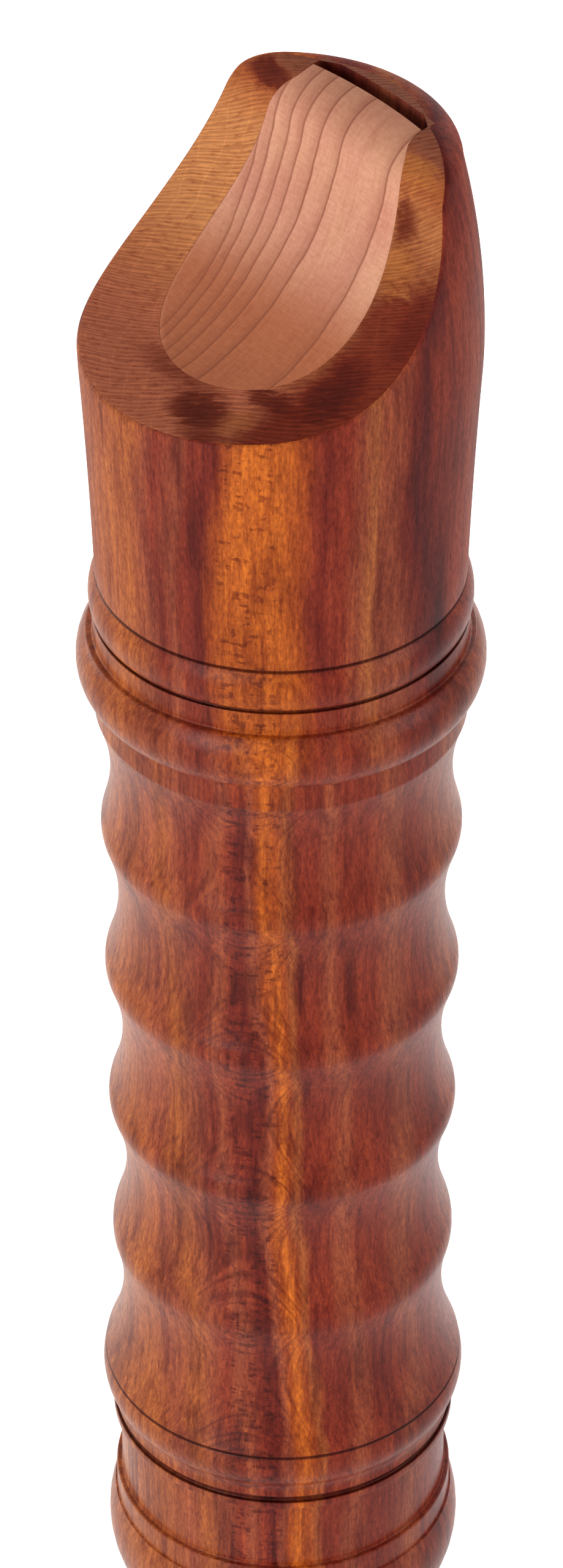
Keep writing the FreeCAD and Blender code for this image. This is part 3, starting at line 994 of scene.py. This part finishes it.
class Shades(Nodes):
    """The nodes of one material, whose patterns are turned about the bore."""

    def __init__(self, name, turn=0.0):
        self.material = bpy.data.materials.new(name)
        self.material.use_nodes = True
        super().__init__(self.material.node_tree)
        self.tree.nodes.clear()
        self.turn = turn
        self.output = self.add("ShaderNodeOutputMaterial")
        self.shader = self.add("ShaderNodeBsdfPrincipled")
        self.tree.links.new(self.shader.outputs[0], self.output.inputs[0])

    def place(self, scale=(1, 1, 1), shift=(0, 0, 0), turn=None):
        """Object coordinates in millimetres, turned, then stretched and moved."""
        source = self.value("ShaderNodeTexCoord", out="Object")
        turn = self.turn if turn is None else turn
        turned = self.value("ShaderNodeMapping", {"Vector": source, "Rotation": (0, 0, turn)})
        big = tuple(part / millimetre for part in scale)
        return self.value("ShaderNodeMapping", {"Vector": turned, "Scale": big, "Location": shift})

    def axes(self, turn=None):
        """The three places of a point, in millimetres."""
        split = self.add("ShaderNodeSeparateXYZ", (self.place(turn=turn),))
        return [Value(self, socket) for socket in split.outputs]

    def noise(self, scale, shift=(0, 0, 0), detail=2.0, rough=0.5, twist=0.0):
        """Noise over the piece with a scale for each axis, or noise at three values."""
        if any(isinstance(part, Value) for part in scale):
            place = self.value("ShaderNodeCombineXYZ", scale)
        else:
            place = self.place(scale, shift)
        return self.value("ShaderNodeTexNoise", {
            "Vector": place, "Scale": 1.0, "Detail": detail,
            "Roughness": rough, "Distortion": twist})

    def blend(self, share, a, b, kind="MIX"):
        return self.value("ShaderNodeMix", {0: share, 6: a, 7: b}, out=2,
                          data_type="RGBA", blend_type=kind)

    def tint(self, base, by, share=1.0):
        """The colour, or a share of it, times by."""
        return self.blend(share, base, self.blend(1.0, base, by, "MULTIPLY"))

    def stain(self, base, *stains):
        """Tints the colour where a pattern goes from low to high. Each stain is the pattern,
        low, high, strength and tint, and perhaps another value that weakens it."""
        for pattern, low, high, strength, by, *weaker in stains:
            share = pattern.span(low, high, 0, strength)
            for value in weaker:
                share = share * value
            base = self.tint(base, by, share)
        return base

    def ramp(self, value, stops):
        node = self.add("ShaderNodeValToRGB", (value,))
        points = node.color_ramp.elements
        while len(points) < len(stops):
            points.new(0.5)
        for point, (place, shade) in zip(points, stops):
            point.position = place
            point.color = colour(shade)
        return Value(self, node.outputs[0])

    def bump(self, height, distance, strength, **normal):
        inputs = {"Height": height, "Distance": distance * millimetre, "Strength": strength}
        return self.value("ShaderNodeBump", {**inputs, **normal})

    def finish(self, **sockets):
        for name, value in sockets.items():
            self.give(self.shader, name.replace("_", " ").title().replace("Ior", "IOR"), value)
        return self.material


# Streaks across the front from left to right, as places in millimetres and a wood each
barrel_streaks = (
    (-20.0, "tan"), (-13.6, "tan"), (-11.6, "auburn"), (-10.6, "red"), (-9.2, "auburn"),
    (-8.4, "red"), (-6.4, "russet"), (-5.4, "amber"), (-3.6, "gold"), (0.6, "gold"),
    (2.2, "amber"), (3.3, "red"), (4.4, "russet"), (5.4, "red"), (6.8, "red"), (8.0, "auburn"),
    (9.0, "honey"), (10.2, "auburn"), (11.4, "auburn"), (12.8, "russet"), (13.6, "umber"),
    (14.4, "russet"), (15.6, "red"), (20.0, "auburn"),
)
wave_streaks = (
    (-20.0, "honey"), (-15.4, "tan"), (-12.6, "auburn"), (-11.0, "tan"), (-9.2, "auburn"),
    (-7.4, "red"), (-6.2, "auburn"), (-5.0, "red"), (-4.2, "russet"), (-3.4, "russet"),
    (-2.6, "auburn"), (-1.9, "amber"), (-1.0, "gold"), (-0.1, "amber"), (0.7, "tan"), (1.5, "red"),
    (3.4, "red"), (4.8, "auburn"), (6.2, "red"), (7.4, "red"), (8.8, "red"), (10.6, "auburn"),
    (12.0, "red"), (13.6, "red"), (15.4, "auburn"), (20.0, "honey"),
)
streak_reach = 20.0


def wood_bands(shades, across, height):
    """The streaks of the turned wood, which lean a little and wander."""
    slow = shades.noise((1 / 30, 1 / 30, 1 / 90), detail=1.0)
    wander = shades.noise((1 / 7, 1 / 7, 1 / 26), (7, 3, 1), detail=3.0)
    drift = height.span(310, 385, 3.4, -0.7) + height.span(390, 412, 0, 0.8)
    moved = across - drift + slow.sway(0.9) + wander.sway(1.1)
    share = moved.span(-streak_reach, streak_reach)
    sets = [shades.ramp(share, [((place + streak_reach) / (2 * streak_reach), wood)
                                for place, wood in streaks])
            for streaks in (wave_streaks, barrel_streaks)]
    return shades.blend(height.span(398, 414, smooth=True), *sets)


# Rays and rings of the wood, in millimetres from the bore: the rays bend round and meet far
# to one side, and the rings cross them at right angles
ray_origin = 4.3
ray_spread = 0.045
ray_pitch = 0.13


def ray_and_layer(x, y):
    """How far a place is across the rays and across the rings."""
    raised = y + ray_origin
    return raised * (x * -ray_spread).math("EXPONENT"), x + raised * raised * (ray_spread / 2)


def reach_from_bore(x, y):
    return x.math("MULTIPLY_ADD", x, y * y).math("SQRT")


# Scored lines painted dark as shade and grime: heights from and to, and how softly it ends
groove_shade_lines = (
    (score_bottom, small_bead_bottom), (barrel_bottom - nick_height, barrel_bottom),
    (fillet_groove_bottom, cavetto_bottom), (flare_bottom - nick_height, flare_bottom),
)
groove_shade_fade = 0.1


def groove_shade(height):
    """Where a height lies in a scored line, from 0 to 1, for the painted shade there."""
    groove = None
    for low, high in groove_shade_lines:
        far = (height - (low + high) / 2).math("ABSOLUTE")
        near = far.span((high - low) / 2, (high - low) / 2 + groove_shade_fade, 1, 0)
        groove = near if groove is None else groove.math("MAXIMUM", near)
    return groove


def turned_wood(name, bored=False):
    """Stained and oiled wood, for the turned outside or for the insides that are bored."""
    shades = Shades(name, front_turn)
    across, depth, height = shades.axes()
    x, y, z = shades.axes(0)
    ray, layer = ray_and_layer(x, y)

    # Short strokes and broad clouds along the grain, fine threads, and veins along the rings
    strokes = shades.noise((4.0, 4.0, 1.15), detail=4.0, rough=0.7, twist=0.35)
    clouds = shades.noise((1 / 4, 1 / 4, 1 / 22), (3, 8, 5), detail=5.0, rough=0.62)
    threads = shades.noise((1.25, 1.25, 0.075), (2, 5, 9), detail=4.0, rough=0.62, twist=0.25)
    veins = shades.noise((layer * 0.9, ray * 0.12, z * 0.035), detail=3.0, rough=0.6)
    base = shades.stain(
        wood_bands(shades, across, height),
        (strokes, 0.50, 0.68, 0.8, (1.5, 1.6, 1.3)),
        (strokes, 0.50, 0.32, 0.85, (0.6, 0.48, 0.55)),
        (clouds, 0.50, 0.70, 0.9, (0.52, 0.38, 0.44)),
        (clouds, 0.50, 0.30, 0.5, (1.22, 1.3, 1.2)),
        (threads, 0.50, 0.66, 0.8, (0.6, 0.42, 0.46)),
        (threads, 0.48, 0.34, 0.8, (1.3, 1.4, 1.15)),
        (veins, 0.55, 0.66, 0.55, (0.58, 0.42, 0.5)))
    if bored:
        dim = shades.blend(1.0, base, (0.6, 0.5, 0.5), "MULTIPLY")
        return shades.finish(base_color=dim, roughness=0.6, specular_ior_level=0.25)

    # Rays, which lie flat to the surface near the middle and show there as fine contour lines
    sheets = shades.noise((ray * (0.45 / ray_pitch), layer * 0.1, z * 0.06), detail=1.0)
    flat = (across + 3.2).math("ABSOLUTE").span(3.0, 7.5, 1.0, 0.3, smooth=True)
    flat = flat * height.span(398, 410, 1, 0.35)

    # Ladder of short dark dashes on the gold streak, painted shade and grime in scored lines, and
    # pores
    rungs = shades.noise((across * 0.75, depth * 0.2, height * 1.9))
    rails = shades.noise((across * 1.9, depth * 0.2, height * 0.3), detail=1.0)
    flank = across.span(-7, -5, smooth=True) * across.span(-1.5, 1.5, 1, 0, smooth=True)
    outside = reach_from_bore(x, y).span(socket_radius + 1, socket_radius + 2, 0, 0.85)
    pores = shades.noise((5.5, 5.5, 1.7), rough=0.6)
    base = shades.stain(
        base,
        (sheets, 0.50, 0.68, 0.6, (0.5, 0.38, 0.42), flat),
        (sheets, 0.50, 0.34, 0.5, (1.3, 1.35, 1.15), flat),
        (rungs, 0.53, 0.62, 0.9, (0.45, 0.32, 0.4), rails.span(0.42, 0.56, 0.15, 1), flank),
        # painted shade, partly grime, darkens the scored lines on the outside of the pieces
        (groove_shade(height), 0, 1, 1, (0.2, 0.1, 0.1), outside),
        (pores, 0.62, 0.72, 0.5, (0.45, 0.35, 0.42)))
    normal = shades.bump(strokes, 0.02, 0.4, Normal=shades.bump(pores, 0.03, 0.75))
    rough = strokes.span(0.3, 0.7, 0.36, 0.25)
    rough = rough + height.span(barrel_bottom - 3, barrel_bottom + 3, 0, 0.24)
    rough = rough + height.span(head_top - 14, head_top - 3, 0, 0.2)
    return shades.finish(base_color=base, roughness=rough, normal=normal, specular_ior_level=0.128)


# Patches on the beak's face by their colour: place across and down the cut, reach across and
# down, strength
dark_patches = (
    (11.0, -6.2, 3.6, 1.9, 0.85), (-5.2, 35.6, 3.9, 3.0, 0.95), (-8.2, 38.2, 3.0, 2.4, 0.6),
    (-14.3, 23.5, 3.0, 6.0, 1.0), (-14.2, 26.2, 2.8, 3.4, 1.2), (-17.2, 12.0, 2.8, 7.0, 0.75),
    (-11.4, 1.6, 1.7, 3.6, 0.6), (0.5, 32.8, 7.0, 2.4, 0.45), (-10.2, 29.6, 4.2, 1.9, 0.85),
)
crown_patches = ((-12.6, -9.6, 4.6, 3.2, 1.0),)
light_patches = (
    (-12.4, 6.8, 2.4, 3.0, 0.8), (-10.6, -5.0, 4.5, 1.8, 0.8), (-9.0, 34.5, 2.2, 3.0, 0.4),
)

# Colours down the beak's face, and the fine lines that rule it: which way they are spaced,
# how far apart, and how they bend; then how far apart the pale rings are
face_colours = (
    (0.00, "crown"), (0.10, "crown"), (0.17, "tan"), (0.27, "end_light"), (0.50, "end_light"),
    (0.66, "end_brown"), (0.80, "end_red"), (1.00, "end_red"),
)
ruling = (0.464, -0.373, 0.803)
ruling_pitch = 0.36
ruling_bend = 0.0035
ring_pitch = 2.3


def patched(x, run, patches):
    """How far a place lies inside any of the patches, from 0 to 1."""
    total = None
    for place_x, place_run, reach_x, reach_run, strength in patches:
        dx, dr = (x - place_x) / reach_x, (run - place_run) / reach_run
        share = (dx * dx + dr * dr).span(1.2, 0.0, 0, strength)
        total = share if total is None else total.math("MAXIMUM", share)
    return total


def cut_wood(name):
    """The beak's face: oblique end grain, ruled with fine rays and crossed by pale rings."""
    shades = Shades(name)
    across = shades.axes(front_turn)[0]
    x, y, z = shades.axes()
    ray, layer = ray_and_layer(x, y)
    ragged = shades.noise((ray * 0.9, layer * 0.22, z * 0.1), detail=5.0, rough=0.68)
    shifted = y - z + head_top
    run, side = shifted + ragged.sway(1.5), x + ragged.sway(-1.0)
    dark = patched(side, run, dark_patches)
    right = side.span(-7.5, -12.5, smooth=True) * run.span(-4, 10, 0.1, 0.95)
    face = shades.ramp(shifted.span(-14, 41), face_colours)
    for share, wood in ((right, "end_deep"), (patched(side, run, light_patches), "end_gold"),
                        (patched(side, run, crown_patches), "crown"),
                        (dark.span(0.0, 0.6, 0, 0.85), "end_deep"),
                        (dark.span(0.3, 1.0, 0, 0.7), "end_dark")):
        face = shades.blend(share, face, wood)

    level = across * across * -ruling_bend
    for part, share in zip((x, y, z), ruling):
        level = part.math("MULTIPLY_ADD", share, level)
    level = level + shades.noise((1 / 14, 1 / 14, 1 / 14), (2, 4, 6), detail=0.0).sway(0.7)
    uneven = shades.noise((level * 1.1, across * 0.11, 0.0), rough=0.6)
    lines = ((level / ruling_pitch + uneven.sway(0.55)) * (2 * math.pi)).math("SINE")
    dashes = shades.noise((level * 3.4, across * 0.9, 0.0), rough=0.6)
    fade = shades.noise((0.35, 0.35, 0.35)).span(0.34, 0.62, 0.45, 1)
    wobble = shades.noise((0.3, 0.3, 0.3), detail=1.0)
    rings = ((layer + wobble.sway(0.5)) * (2 * math.pi / ring_pitch)).math("SINE")
    face = shades.stain(
        face,
        (lines, 0.0, 0.9, 0.75, (1.36, 1.36, 1.26), fade),
        (lines, 0.0, -0.9, 0.75, (0.8, 0.68, 0.66), fade),
        (dashes, 0.54, 0.68, 0.75, (0.66, 0.5, 0.46)),
        (dashes, 0.44, 0.32, 0.5, (1.25, 1.25, 1.15)),
        (rings, 0.90, 0.99, 0.3, (1.35, 1.4, 1.35)))
    normal = shades.bump(lines, 0.015, 0.5)
    return shades.finish(base_color=face, roughness=0.6, normal=normal, specular_ior_level=0.06)


# The block's growth lines: where each meets the front edge, across from +X, in millimetres.
# Each darkens towards its sharp edge, by offsets in shares of the block and strengths.
growth_lines = (9.9, 8.35, 6.3, 4.4, 1.96, -1.0, -7.8)
growth_reach = 14.0
growth_edge = ((-0.045, 0.1), (-0.008, 0.35), (0.0, 1.0), (0.004, 0.0))


def cedar():
    """The bare block: pink-brown wood with dark growth lines in upright curved sheets."""
    shades = Shades("block_cedar")
    x, y, z = shades.axes()
    pull = x.span(-1, 12, 0, 13) * 0.38 + 0.6
    sway = shades.noise((1 / 5, 1 / 5, 1 / 5), (1, 2, 3)).sway(0.13)
    sheet = x + y.span(-5.5, 10) * pull + sway
    stops = [(0.0, (0, 0, 0))]
    for place in growth_lines:
        at = (growth_reach - place) / (2 * growth_reach)
        for offset, dark in growth_edge:
            if at + offset > stops[-1][0]:
                stops.append((at + offset, (dark, dark, dark)))
    line = shades.ramp(sheet.span(growth_reach, -growth_reach), stops)
    fibres = shades.noise((5.0, 1.6, 1.3), detail=4.0, rough=0.65)
    bars = shades.noise((1.6, 0.16, 0.16), detail=3.0, rough=0.6)
    weave = shades.noise((0.8, 4.5, 3.6), (2, 2, 2), detail=3.0, rough=0.6)
    clouds = shades.noise((0.25, 0.12, 0.12), (5, 1, 1))
    base = shades.blend(clouds.span(0.35, 0.65), "cedar", "cedar_pink")
    base = shades.blend((y - z).span(-454, -441, smooth=True), base, "cedar_low")
    base = shades.tint(base, (0.86, 0.82, 0.78), (z - y).span(465, 469, smooth=True))
    base = shades.stain(
        base,
        (fibres, 0.5, 0.70, 0.5, (1.16, 1.22, 1.22)),
        (fibres, 0.5, 0.32, 0.5, (0.86, 0.78, 0.74)),
        (bars, 0.5, 0.72, 0.5, (0.82, 0.7, 0.66)),
        (weave, 0.5, 0.68, 0.5, (1.14, 1.2, 1.22)),
        (weave, 0.5, 0.34, 0.4, (0.88, 0.8, 0.76)))
    base = shades.blend(line * 0.95, base, "cedar_line")
    normal = shades.bump(fibres, 0.02, 0.3)
    return shades.finish(base_color=base, roughness=0.65, normal=normal, specular_ior_level=0.15)


def cork_finish():
    """Greased cork: warm tan grains with dark specks."""
    shades = Shades("tenon_cork")
    cells = shades.value("ShaderNodeTexVoronoi", {
        "Vector": shades.place(), "Scale": 0.9, "Randomness": 1.0}, "Distance")
    grain = shades.noise((1.3, 1.3, 1.3), detail=4.0, rough=0.65)
    specks = shades.noise((1.9, 1.9, 1.9), (4, 4, 4), detail=1.0)
    base = shades.blend(grain.span(0.35, 0.65), "cork_grain", "cork")
    base = shades.blend(cells.span(0.1, 0.5, 0.2, 0), base, "cork_cell")
    base = shades.blend(specks.span(0.63, 0.69, 0, 0.8), base, "cork_speck")
    return shades.finish(base_color=base, roughness=0.66, normal=shades.bump(grain, 0.05, 0.4))


def wood_set():
    """The three finishes of the turned pieces, made once."""
    found = bpy.data.materials.get
    return [found("turned_wood") or turned_wood("turned_wood"),
            found("cut_wood") or cut_wood("cut_wood"),
            found("bored_wood") or turned_wood("bored_wood", bored=True)]


def turned_blank():
    """The node tree that turns an outline round the bore: a grid whose rows follow its points."""
    tree = bpy.data.node_groups.get("turned blank")
    if tree:
        return tree
    tree = bpy.data.node_groups.new("turned blank", "GeometryNodeTree")
    for name, way, kind in (("Outline", "INPUT", "Geometry"), ("Columns", "INPUT", "Int"),
                            ("Wood", "INPUT", "Material"), ("Piece", "OUTPUT", "Geometry")):
        tree.interface.new_socket(name, in_out=way, socket_type="NodeSocket" + kind)
    nodes = Nodes(tree)
    outline, columns, wood = [Value(nodes, socket)
                              for socket in list(nodes.add("NodeGroupInput").outputs)[:3]]
    count = nodes.value("GeometryNodeAttributeDomainSize", {"Geometry": outline}, "Point Count")
    index = nodes.value("GeometryNodeInputIndex")
    column = ((index + 0.5) / count).math("FLOOR")
    read = nodes.value("GeometryNodeSampleIndex", {
        "Geometry": outline, "Value": nodes.value("GeometryNodeInputPosition"),
        "Index": index.math("MODULO", count)}, data_type="FLOAT_VECTOR")
    swung = nodes.value("ShaderNodeVectorRotate", {
        "Vector": read, "Angle": column / columns * (2 * math.pi)}, rotation_type="Z_AXIS")
    piece = nodes.value("GeometryNodeMeshGrid", {"Vertices X": columns + 1, "Vertices Y": count})
    for kind, inputs in (("SetPosition", {"Position": swung}),
                         ("MergeByDistance", {"Distance": 0.001 * millimetre}),
                         ("SetShadeSmooth", {}), ("RealizeInstances", {}),
                         ("SetMaterial", {"Material": wood})):
        piece = nodes.value("GeometryNode" + kind, {"Geometry": piece, **inputs})
    nodes.add("NodeGroupOutput", {"Piece": piece})
    return tree


def turn_piece(name, outline, material):
    """Turns a closed outline of radius and height into a finished mesh."""
    points = [(radius, 0, height) for radius, height in outline]
    edges = [(i, (i + 1) % len(points)) for i in range(len(points))]
    mesh = bpy.data.meshes.new(name)
    mesh.from_pydata((np.array(points + points[:1]) * millimetre).tolist(), edges, [])
    piece = add_object(name, mesh)
    modifier = piece.modifiers.new("turned blank", "NODES")
    modifier.node_group = turned_blank()
    given = {"Columns": sizes().columns, "Wood": material}
    for item in modifier.node_group.interface.items_tree:
        if item.name in given:
            modifier[item.identifier] = given[item.name]
    plain_mesh(piece)
    piece.data.materials.clear()
    piece.data.materials.append(material)
    piece.data.polygons.foreach_set("material_index", [0] * len(piece.data.polygons))
    face_outwards(piece.data)
    return piece


def settle_piece(piece, body, node):
    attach(piece, body)
    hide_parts(node)


class RECORDER_OT_foot(bpy.types.Operator):
    """Turn the foot joint and drill its pair of small holes"""
    bl_idname = "recorder.foot"
    bl_label = "Foot joint"

    def execute(self, context):
        outline = eased(foot_outline().runs, sizes().edge / millimetre, closed=True)
        piece = turn_piece("foot_turned", outline, wood_set()[0])
        height = foot_top - foot_pair_drop
        radii = [radius for radius, level in outline if abs(level - height) < pair_small_radius]
        cut_away(piece, hole_pair(height, max(radii)))
        settle_piece(piece, "foot", "foot_joint")
        return {"FINISHED"}


class RECORDER_OT_middle(bpy.types.Operator):
    """Turn the middle joint and drill its finger and thumb holes"""
    bl_idname = "recorder.middle"
    bl_label = "Middle joint"

    def execute(self, context):
        outline = eased(middle_outline().runs, sizes().edge / millimetre * 2, closed=True)
        piece = turn_piece("middle_turned", outline, wood_set()[0])
        cut_away(piece, middle_holes())
        settle_piece(piece, "middle", "middle_joint")
        return {"FINISHED"}


class RECORDER_OT_corks(bpy.types.Operator):
    """Glue the cork rings round the two tenons"""
    bl_idname = "recorder.corks"
    bl_label = "Tenon corks"

    def execute(self, context):
        material = cork_finish()
        for name, (_, thickness) in tenons.items():
            node = name + "_tenon_cork"
            outline = cork_outline(node, thickness)
            outline = eased(outline.runs, sizes().edge / millimetre, closed=True)
            piece = turn_piece(name + "_cork_ring", outline, material)
            piece.data.set_sharp_from_angle(angle=crisp_angle)
            settle_piece(piece, "middle", node)
        return {"FINISHED"}


class RECORDER_OT_head(bpy.types.Operator):
    """Make the head joint: turned outside, socket, windway, window and scooped beak"""
    bl_idname = "recorder.head"
    bl_label = "Head joint"

    def execute(self, context):
        rows, bands = head_rows(sizes().columns)
        piece = new_piece("head_turned", rows, bands, capped=False)
        for material in wood_set():
            piece.data.materials.append(material)
        cut_away(piece, head_cutters())
        settle_piece(piece, "head", "head_joint")
        return {"FINISHED"}


class RECORDER_OT_block(bpy.types.Operator):
    """Make the block that fills the bore under the beak and forms the windway's floor"""
    bl_idname = "recorder.block"
    bl_label = "Block"

    def execute(self, context):
        piece = new_piece("block_bare", block_rows(sizes().columns))
        piece.data.materials.append(cedar())
        cut_away(piece, [block_cutter()])
        settle_piece(piece, "block", "block")
        return {"FINISHED"}


# The floor glows for the camera, more with its distance from the recorder, and less in mirrors
floor_radius = 1.6
floor_drop = 0.0002
floor_glow = 0.4
glow_start, glow_end = 150, 600
room_light = 0.3


def floor_finish():
    """Pale floor that looks white from the camera and in reflections, yet keeps the shadow."""
    shades = Shades("floor")
    shades.finish(base_color="floor", roughness=0.9, specular_ior_level=0.0)
    x, y, _ = shades.axes()
    far = reach_from_bore(x, y).span(glow_start, glow_end, floor_glow, 1.0, smooth=True)
    mirror_rays = shades.ray("Glossy").math("MAXIMUM", shades.ray("Transmission"))
    strength = (shades.ray("Camera") * far).math("MAXIMUM", mirror_rays * floor_glow)
    glow = shades.value("ShaderNodeEmission", {"Strength": strength})
    both = shades.value("ShaderNodeAddShader", (Value(shades, shades.shader.outputs[0]), glow))
    shades.give(shades.output, 0, both)
    return shades.material


def add_world(scene):
    """White for the camera and in mirrors, and a dimmer light on everything else."""
    world = bpy.data.worlds.new("studio")
    world.use_nodes = True
    nodes = Nodes(world.node_tree)
    background = nodes.tree.nodes["Background"]
    nodes.give(background, "Color", (1, 1, 1))
    seen = nodes.ray("Camera").math("MAXIMUM", nodes.ray("Glossy"))
    nodes.give(background, "Strength", seen.span(0, 1, room_light, 1.0))
    scene.world = world


# The ring of soft lamps: name, turn from the camera and watts
studio_lamps = (("key", -38, 15.0), ("fill", 72, 7.5), ("side", -130, 8.5), ("back", 160, 9.5))
lamp_reach = 1.5
lamp_height = 0.72
lamp_size = 0.9
lamp_aim = 0.36


def add_lamp(name, azimuth, power):
    """A soft lamp low round the recorder, aimed at its head."""
    lamp = bpy.data.lights.new(name, "AREA")
    lamp.shape = "DISK"
    lamp.size = lamp_size
    lamp.energy = power
    holder = add_object(name, lamp)
    place = Vector((math.cos(azimuth) * lamp_reach, math.sin(azimuth) * lamp_reach, lamp_height))
    holder.location = place
    holder.rotation_euler = (Vector((0, 0, lamp_aim)) - place).to_track_quat("-Z", "Y").to_euler()


def add_camera(scene):
    """The photograph's camera, looking down at the head."""
    camera = add_object("camera", bpy.data.cameras.new("camera"))
    camera.data.lens = camera_lens
    camera.data.sensor_width = camera_sensor
    camera.data.clip_start = 0.01
    camera.location = Vector((math.cos(camera_azimuth) * camera_reach,
                              math.sin(camera_azimuth) * camera_reach, camera_height)) * millimetre
    turns = ((camera_azimuth + math.pi / 2, "Z"), (math.pi / 2 - camera_pitch, "X"),
             (camera_roll, "Z"))
    turn, tilt, roll = [Matrix.Rotation(angle, 3, axis) for angle, axis in turns]
    camera.rotation_euler = (turn @ tilt @ roll).to_euler()
    scene.camera = camera


class RECORDER_OT_studio(bpy.types.Operator):
    """Set up the pale floor, the soft light and the photograph's camera"""
    bl_idname = "recorder.studio"
    bl_label = "Floor, light and camera"

    def execute(self, context):
        bpy.ops.mesh.primitive_circle_add(vertices=128, radius=floor_radius, fill_type="NGON")
        floor = context.object
        floor.name = "studio_floor"
        floor.location.z = -floor_drop
        floor.data.materials.append(floor_finish())
        add_world(context.scene)
        for name, turn, power in studio_lamps:
            add_lamp(name, camera_azimuth + math.radians(turn), power)
        add_camera(context.scene)
        context.scene.view_settings.view_transform = "Standard"
        return {"FINISHED"}


class RECORDER_PT_bench(bpy.types.Panel):
    """Buttons that make each piece of the recorder"""
    bl_idname = "RECORDER_PT_bench"
    bl_label = "Alto recorder"
    bl_space_type = "VIEW_3D"
    bl_region_type = "UI"
    bl_category = "Recorder"

    def draw(self, context):
        layout = self.layout
        for maker in makers:
            layout.operator(maker.bl_idname)
        for group in (sizes(), colours()):
            for name in group.__annotations__:
                layout.prop(group, name)


makers = (RECORDER_OT_foot, RECORDER_OT_middle, RECORDER_OT_corks, RECORDER_OT_head,
          RECORDER_OT_block, RECORDER_OT_studio)
classes = (RecorderSizes, RecorderColours) + makers + (RECORDER_PT_bench,)


def register():
    for item in classes:
        bpy.utils.register_class(item)
    bpy.types.Scene.recorder_sizes = PointerProperty(type=RecorderSizes)
    bpy.types.Scene.recorder_colours = PointerProperty(type=RecorderColours)


def unregister():
    del bpy.types.Scene.recorder_colours
    del bpy.types.Scene.recorder_sizes
    for item in reversed(classes):
        bpy.utils.unregister_class(item)


def main():
    register()
    bpy.ops.recorder.foot()
    bpy.ops.recorder.middle()
    bpy.ops.recorder.corks()
    bpy.ops.recorder.head()
    bpy.ops.recorder.block()
    bpy.ops.recorder.studio()


if __name__ == "__main__":
    main()
